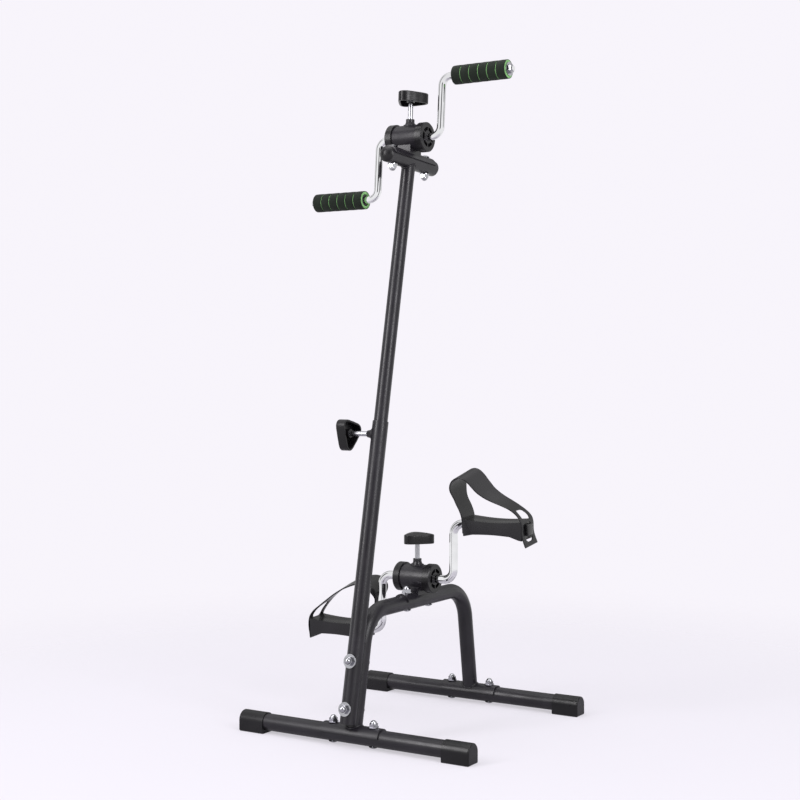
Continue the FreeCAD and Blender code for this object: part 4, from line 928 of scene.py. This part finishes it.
class EXERCISER_OT_pedals(bpy.types.Operator):
    """Make the two moulded pedals, hollow below, with the peg that holds the strap"""

    bl_idname = "exerciser.make_pedals"
    bl_label = "Make the pedals"

    def execute(self, context):
        sizes = context.scene.exerciser_pedals
        for side_name, side in SIDES:
            place = pedal_place(side_name, side)
            body = side_name + "_pedal"
            piece = finish_piece(
                side_name + "_moulded_pedal", pedal_block(sizes), body, "pedal_plastic", place,
                [side_name + "_pedal_body"],
            )
            carve(piece, pedal_cutters(place))
            piece.data.set_sharp_from_angle(angle=math.radians(SMOOTH_ANGLE))
            peg = box_bm(PEG_LOW, PEG_HIGH)
            bmesh.ops.bevel(
                peg, geom=peg.edges[:], offset=PEG_ROUND, segments=3, profile=0.5, affect="EDGES",
                material=-1,
            )
            finish_piece(side_name + "_pedal_peg", peg, body, "pedal_plastic", place)
        return {"FINISHED"}


# Knobs

# Outline of a knob: mean reach, and waves as their number round the knob and their height
KNOB_REACH = 23.3 * MM
KNOB_WAVES = ((3, 4.2 * MM), (6, 0.7 * MM))
KNOB_POINTS = 60
# Inset and height of the lines round the open lower rim, from the inside out
KNOB_RIM = ((3.0 * MM, 0.5 * MM), (2.4 * MM, 0.0), (0.5 * MM, 0.0), (0.0, 0.6 * MM))
KNOB_WALL = 3.0 * MM
ROUNDING_STEPS = 6
# Lines across the dome, as shares of the rim's reach
DOME_SHARES = (0.9, 0.78, 0.64, 0.5, 0.36, 0.22, 0.09)
# Boss inside a knob, round the screw: bore, radius, lower end, how far it ends below the top, and rounding
BOSS_BORE = 4.08 * MM
BOSS_RADIUS = 7 * MM
BOSS_LOW = 2.5 * MM
BOSS_DROP = 3.2 * MM
BOSS_ROUND = 0.4 * MM
# Replaced node, body, frame, height of the lower rim and of the knob in millimetres, turn in degrees
KNOBS = (
    ("lower_tension_knob", "lower_knob", LOWER_PLACE, 56.5, 14.8, 20),
    ("upper_tension_knob", "upper_knob", HEAD_PLACE, 57.3, 16.2, 28),
    ("clamp_knob", "clamp_handle", CLAMP_PLACE, 51.7, 16.2, 63),
)


def knob_loop(inset, height):
    """A three-cornered outline with bowed sides, drawn in by an inset, as points."""
    points = []
    for step in range(KNOB_POINTS):
        angle = FULL_TURN * step / KNOB_POINTS
        reach = KNOB_REACH + sum(rise * math.cos(waves * angle) for waves, rise in KNOB_WAVES)
        slope = -sum(rise * waves * math.sin(waves * angle) for waves, rise in KNOB_WAVES)
        outward = Vector((
            reach * math.cos(angle) + slope * math.sin(angle),
            reach * math.sin(angle) - slope * math.cos(angle),
        )).normalized()
        spot = Vector((reach * math.cos(angle), reach * math.sin(angle))) - outward * inset
        points.append((spot.x, spot.y, height))
    return points


def draw_loops(bm, loops):
    """Extrude a closed outline through a list of outlines with the same number of points."""
    verts = [bm.verts.new(point) for point in loops[0]]
    edges = [bm.edges.new(pair) for pair in zip(verts, verts[1:] + verts[:1])]
    for loop in loops[1:]:
        drawn = bmesh.ops.extrude_edge_only(bm, edges=edges)["geom"]
        new_edges = [item for item in drawn if isinstance(item, bmesh.types.BMEdge)]
        fresh = {vert for edge in new_edges for vert in edge.verts if vert not in verts}
        partner = {}
        for vert in fresh:
            for edge in vert.link_edges:
                other = edge.other_vert(vert)
                if other in verts:
                    partner[other] = vert
        verts = [partner[vert] for vert in verts]
        kept = set(verts)
        edges = [edge for edge in new_edges if edge.verts[0] in kept and edge.verts[1] in kept]
        for vert, point in zip(verts, loop):
            vert.co = point
    return verts


def knob_mesh(sizes, height):
    """A hollow knob with a rounded rim and a low dome, and a boss round the screw inside."""
    bm = bmesh.new()
    round_off = sizes.rounding
    loops = [knob_loop(KNOB_WALL, height - KNOB_WALL)]
    loops += [knob_loop(inset, low) for inset, low in KNOB_RIM]
    loops.append(knob_loop(0, (height - round_off) / 2))
    for step in range(ROUNDING_STEPS):
        angle = math.pi / 2 * step / ROUNDING_STEPS
        inset = round_off * (1 - math.cos(angle))
        loops.append(knob_loop(inset, height - round_off * (1 - math.sin(angle))))
    rim = loops[-1]
    for share in DOME_SHARES:
        rise = sizes.dome * (1 - share * share)
        loops.append([(x * share, y * share, height + rise) for x, y, _ in rim])
    last = draw_loops(bm, loops)
    bm.faces.new(last)
    bmesh.ops.contextual_create(bm, geom=[edge for edge in bm.edges if edge.is_boundary])
    spin_ring(bm, tube_corners(BOSS_BORE, BOSS_RADIUS, BOSS_LOW, height - BOSS_DROP), BOSS_ROUND, 40)
    return bm


class EXERCISER_OT_knobs(bpy.types.Operator):
    """Make the three moulded knobs of the clamp and the two brakes"""

    bl_idname = "exerciser.make_knobs"
    bl_label = "Make the knobs"

    def execute(self, context):
        sizes = context.scene.exerciser_knobs
        for node_name, body, place, base, height, angle in KNOBS:
            turn = Matrix.Rotation(math.radians(angle), 4, "Z")
            at_knob = place @ Matrix.Translation((0, 0, base * MM)) @ turn
            moulding = knob_mesh(sizes, height * MM)
            finish_piece(body + "_moulding", moulding, body, "black_plastic", at_knob, [node_name])
        return {"FINISHED"}


# Weld beads

# Outside radii of what is welded
TUBE_RADIUS = 12.7 * MM
INNER_MAST_RADIUS = 11.1 * MM
HOUSING_RADIUS = 21.5 * MM
SADDLE_RADIUS = 16.05 * MM
SCREW_BOSS_RADIUS = 9.0 * MM
CLAMP_BOSS_RADIUS = 7.5 * MM
REAR_LEG_LEAN = math.radians(8.4)
BEAD_STEPS = 72
BEAD_SMOOTH_ANGLE = 80


def ripple_height(angle):
    """Uneven waves along a bead, as a share of the ripple's height."""
    return math.sin(angle * BEAD_STEPS / 2.2) + 0.5 * math.sin(angle * 5.3 + 1.0)


def weld_bead(sizes, radius, place, target_place, target_radius, sign):
    """A rippled bead where a round tube meets the side of another, drawn in the tube's own frame.

    The sign picks the upper or the lower of the two places where the tube's wall meets the other tube.
    """
    bm = bmesh.new()
    section = bmesh.ops.create_circle(bm, cap_ends=False, segments=8, radius=sizes.bead)["verts"]
    bmesh.ops.transform(
        bm, matrix=Matrix.Translation((radius, 0, 0)) @ Matrix.Rotation(math.pi / 2, 4, "X"), verts=section
    )
    bmesh.ops.spin(
        bm, geom=bm.verts[:] + bm.edges[:], cent=(0, 0, 0), axis=(0, 0, 1), angle=FULL_TURN,
        steps=BEAD_STEPS, use_merge=True,
    )
    bmesh.ops.remove_doubles(bm, verts=bm.verts, dist=1e-7)
    to_target = target_place.inverted() @ place
    for vert in bm.verts:
        angle = math.atan2(vert.co.y, vert.co.x)
        ring = Vector((radius * math.cos(angle), radius * math.sin(angle), 0))
        start = to_target @ ring
        along = (to_target @ (ring + Vector((0, 0, 1)))) - start
        # The line start + reach * along meets the other tube where this quadratic is zero
        square = along.x ** 2 + along.y ** 2
        mixed = start.x * along.x + start.y * along.y
        rest = start.x ** 2 + start.y ** 2 - target_radius ** 2
        reach = (-mixed + sign * math.sqrt(max(mixed * mixed - square * rest, 0.0))) / square
        swell = 1 + sizes.ripple * ripple_height(angle) / sizes.bead
        outward = Vector((vert.co.x, vert.co.y, 0)) - ring
        vert.co = ring + outward * swell + Vector((0, 0, reach + vert.co.z))
    return bm


class EXERCISER_OT_welds(bpy.types.Operator):
    """Lay the painted weld beads round the welded joints"""

    bl_idname = "exerciser.make_welds"
    bl_label = "Make the weld beads"

    def execute(self, context):
        sizes = context.scene.exerciser_welds
        head_tube = Matrix.Translation(joint_point("head_swivel")) @ Matrix.Rotation(-HEAD_PITCH, 4, "X")
        welds = [
            ("mast_top_weld", "head", MAST_PLACE, INNER_MAST_RADIUS, head_tube @ TURN_TO_Y, TUBE_RADIUS, -1)
        ]
        for name, body, unit in (("upper", "head", HEAD_PLACE), ("lower", "frame", LOWER_PLACE)):
            housing = unit @ TURN_TO_X
            welds.append((name + "_boss_weld", body, unit, SCREW_BOSS_RADIUS, housing, HOUSING_RADIUS, 1))
        for name, lean in (("front", -MAST_LEAN), ("rear", REAR_LEG_LEAN)):
            low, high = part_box(name + "_base_tube")
            foot = Matrix.Translation((0, (low.y + high.y) / 2, (low.z + high.z) / 2))
            leg = foot @ Matrix.Rotation(lean, 4, "X")
            welds.append((name + "_leg_weld", "frame", leg, TUBE_RADIUS, foot @ TURN_TO_X, SADDLE_RADIUS, 1))
        mast = CLAMP_PLACE @ TURN_TO_X
        welds.append(("clamp_boss_weld", "frame", CLAMP_PLACE, CLAMP_BOSS_RADIUS, mast, TUBE_RADIUS, 1))
        for name, body, place, radius, target, target_radius, sign in welds:
            bead = weld_bead(sizes, radius, place, target, target_radius, sign)
            finish_piece(name, bead, body, "black_paint", place, (), BEAD_SMOOTH_ANGLE)
        return {"FINISHED"}


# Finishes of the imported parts

# Turn that lays each screw's thread along Z
SCREW_TURNS = {
    "lower_tension_screw": (0, 0, 0),
    "upper_tension_screw": (HEAD_PITCH, 0, 0),
    "clamp_screw": (0, math.pi / 2, 0),
}


class EXERCISER_OT_finishes(bpy.types.Operator):
    """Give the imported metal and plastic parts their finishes"""

    bl_idname = "exerciser.make_finishes"
    bl_label = "Finish the packed parts"

    def execute(self, context):
        made = finishes()
        colours = context.scene.exerciser_colours
        for name, thing in NODES.items():
            give_material(thing, made.made[slot_of(name)])
        give_material(NODES["upper_housing_tube"], made.made["housing_paint"])
        for name, turn in SCREW_TURNS.items():
            give_material(NODES[name], made.threaded(name + "_zinc", colours.zinc, turn))
        return {"FINISHED"}


# Stage

WHITE = (1, 1, 1, 1)
# Darker gaps between the studio's walls: direction and half width in degrees, and brightness
STUDIO_GAPS = ((-152, 12, 0.08), (-64, 14, 0.06), (32, 12, 0.2), (122, 40, 0.3))
# A gap's edge fades between these shares of its half width
GAP_START, GAP_FULL = 1.3, 0.7
# Middle height of the gaps as a direction's Z, and how far from it they begin to close and are closed
GAP_HEIGHT = 0.32
GAP_CLOSING = {"From Min": 0.22, "From Max": 0.38}
# Soft boxes: name, place, width and height, power and colour
SOFT_BOXES = (
    ("left_box", (-1.2, -2.3, 1.75), (0.7, 1.8), 48, (1.0, 0.98, 1.0)),
    ("right_box", (2.6, -0.9, 1.65), (0.7, 1.8), 42, (0.98, 0.97, 1.0)),
    ("top_box", (-0.2, -0.3, 3.0), (1.8, 1.8), 26, (1.0, 0.99, 1.0)),
)
LIGHT_TARGET = (0, 0, 0.7)
CHROME_RODS = ("lower_crank_rod", "upper_crank_rod")
# The floor's own glow: in light and reflections, and as the camera sees it
FLOOR_GLOW = {"To Min": 0.25, "To Max": 0.53}
# Distances in metres at which the floor begins to fade into the backdrop and is gone
FLOOR_FADE = {"From Min": 0.5, "From Max": 1.6, "To Min": 1.0, "To Max": 0.0}
FLOOR_HALF_WIDTH = 14.0
SENSOR_WIDTH = 36.0
VIEW_DISTANCE = 60.0


def soft_box(name, place, size, power, colour):
    """A soft box that lights everything but the chrome rods, which mirror the studio's walls alone."""
    light = bpy.data.lights.new(name, "AREA")
    light.shape = "RECTANGLE"
    light.size, light.size_y = size
    light.energy = power
    light.color = colour
    lamp = bpy.data.objects.new(name, light)
    lamp.location = place
    lamp.rotation_euler = (Vector(LIGHT_TARGET) - Vector(place)).to_track_quat("-Z", "Y").to_euler()
    bpy.context.scene.collection.objects.link(lamp)
    unlit = bpy.data.collections.new(name + "_unlit")
    for rod_name in CHROME_RODS:
        unlit.objects.link(bpy.data.objects[rod_name])
    for member in unlit.collection_objects:
        member.light_linking.link_state = "EXCLUDE"
    lamp.light_linking.receiver_collection = unlit


class EXERCISER_OT_stage(bpy.types.Operator):
    """Set the pale floor, the soft studio light and the photograph's camera"""

    bl_idname = "exerciser.make_stage"
    bl_label = "Set the stage"

    def floor_material(self, setup):
        """A pale floor that fades into the backdrop away from the object."""
        material = bpy.data.materials.new("studio_floor")
        material.use_nodes = True
        tree = material.node_tree
        shader = tree.nodes["Principled BSDF"]
        shader.inputs["Base Color"].default_value = rgba(setup.floor)
        shader.inputs["Roughness"].default_value = 0.9
        shader.inputs["Specular IOR Level"].default_value = 0.1
        shader.inputs["Emission Color"].default_value = rgba(setup.backdrop)
        seen = node(tree, "ShaderNodeLightPath").outputs["Is Camera Ray"]
        glow = node(tree, "ShaderNodeMapRange", {"Value": seen, **FLOOR_GLOW})
        tree.links.new(glow.outputs["Result"], shader.inputs["Emission Strength"])
        place = node(tree, "ShaderNodeTexCoord").outputs["Object"]
        reach = node(tree, "ShaderNodeVectorMath", {0: place}, operation="LENGTH")
        fade = node(
            tree, "ShaderNodeMapRange", {"Value": reach.outputs["Value"], **FLOOR_FADE},
            interpolation_type="SMOOTHSTEP",
        )
        tree.links.new(fade.outputs["Result"], shader.inputs["Alpha"])
        return material

    def wall_ring(self, tree, share, height):
        """White walls with darker gaps in one ring of heights, as a colour."""
        walls = node(tree, "ShaderNodeValToRGB", {"Fac": share})
        ramp = walls.color_ramp
        ramp.elements[0].position = 0.0
        ramp.elements[1].position = 1.0
        ramp.elements[0].color = ramp.elements[1].color = WHITE
        for middle, half, bright in STUDIO_GAPS:
            for share_of_half, value in (
                (-GAP_START, 1.0), (-GAP_FULL, bright), (GAP_FULL, bright), (GAP_START, 1.0)
            ):
                stop = ramp.elements.new((middle + half * share_of_half) / 360 + 0.5)
                stop.color = (value, value, value, 1)
        level = node(tree, "ShaderNodeMath", {0: height, 1: GAP_HEIGHT}, operation="SUBTRACT")
        away = node(tree, "ShaderNodeMath", {0: level.outputs[0]}, operation="ABSOLUTE")
        closing = node(
            tree, "ShaderNodeMapRange", {"Value": away.outputs[0], **GAP_CLOSING},
            interpolation_type="SMOOTHSTEP",
        )
        return mixed_colour(tree, closing.outputs["Result"], walls.outputs["Color"], WHITE)

    def studio_world(self, setup):
        """A pale backdrop for the camera, and white walls with darker gaps for light and reflections."""
        world = bpy.data.worlds.new("studio")
        world.use_nodes = True
        tree = world.node_tree
        backdrop = tree.nodes["Background"]
        backdrop.inputs["Color"].default_value = rgba(setup.backdrop)
        direction = node(tree, "ShaderNodeTexCoord").outputs["Generated"]
        parts = node(tree, "ShaderNodeSeparateXYZ", {0: direction})
        turn = node(
            tree, "ShaderNodeMath", {0: parts.outputs["Y"], 1: parts.outputs["X"]}, operation="ARCTAN2"
        )
        full_turn = {"From Min": -math.pi, "From Max": math.pi}
        share = node(tree, "ShaderNodeMapRange", {"Value": turn.outputs[0], **full_turn})
        walls = self.wall_ring(tree, share.outputs["Result"], parts.outputs["Z"])
        studio = node(tree, "ShaderNodeBackground", {"Color": walls, "Strength": setup.walls})
        seen = node(tree, "ShaderNodeLightPath").outputs["Is Camera Ray"]
        chosen = node(
            tree, "ShaderNodeMixShader", {"Fac": seen, 1: studio.outputs[0], 2: backdrop.outputs[0]}
        )
        tree.links.new(chosen.outputs[0], tree.nodes["World Output"].inputs["Surface"])
        return world

    def execute(self, context):
        setup = context.scene.exerciser_stage
        bm = bmesh.new()
        bmesh.ops.create_grid(bm, x_segments=8, y_segments=8, size=FLOOR_HALF_WIDTH)
        mesh = bpy.data.meshes.new("studio_floor")
        bm.to_mesh(mesh)
        bm.free()
        floor = bpy.data.objects.new("studio_floor", mesh)
        bpy.context.scene.collection.objects.link(floor)
        floor.data.materials.append(self.floor_material(setup))
        bpy.context.scene.world = self.studio_world(setup)
        bpy.context.scene.view_settings.view_transform = "Standard"
        for box in SOFT_BOXES:
            soft_box(*box)
        data = bpy.data.cameras.new("photo_camera")
        data.sensor_width = SENSOR_WIDTH
        data.lens = setup.lens
        data.clip_end = VIEW_DISTANCE
        camera = bpy.data.objects.new("photo_camera", data)
        camera.location = setup.camera
        camera.rotation_euler = Euler((math.pi / 2 + setup.pitch, 0, setup.yaw), "XYZ")
        bpy.context.scene.collection.objects.link(camera)
        bpy.context.scene.camera = camera
        return {"FINISHED"}


# Registration


class EXERCISER_PT_panel(bpy.types.Panel):
    """Lists the operators and the settings of the exerciser"""

    bl_idname = "EXERCISER_PT_panel"
    bl_label = "Pedal exerciser"
    bl_space_type = "VIEW_3D"
    bl_region_type = "UI"
    bl_category = "Exerciser"

    def draw(self, context):
        layout = self.layout
        for operator in OPERATORS:
            layout.operator(operator.bl_idname)
        for name, group in SETTINGS.items():
            box = layout.box()
            box.label(text=group.__name__)
            settings = getattr(context.scene, name)
            for key in group.__annotations__:
                box.prop(settings, key)


OPERATORS = [
    EXERCISER_OT_finishes,
    EXERCISER_OT_grips,
    EXERCISER_OT_straps,
    EXERCISER_OT_pedals,
    EXERCISER_OT_knobs,
    EXERCISER_OT_welds,
    EXERCISER_OT_stage,
]
CLASSES = [*SETTINGS.values(), *OPERATORS, EXERCISER_PT_panel]


def register():
    for item in CLASSES:
        bpy.utils.register_class(item)
    for name, group in SETTINGS.items():
        setattr(bpy.types.Scene, name, PointerProperty(type=group))


def unregister():
    for name in SETTINGS:
        delattr(bpy.types.Scene, name)
    for item in reversed(CLASSES):
        bpy.utils.unregister_class(item)


def main():
    register()
    for operator in OPERATORS:
        group, name = operator.bl_idname.split(".")
        getattr(getattr(bpy.ops, group), name)()


if __name__ == "__main__":
    main()
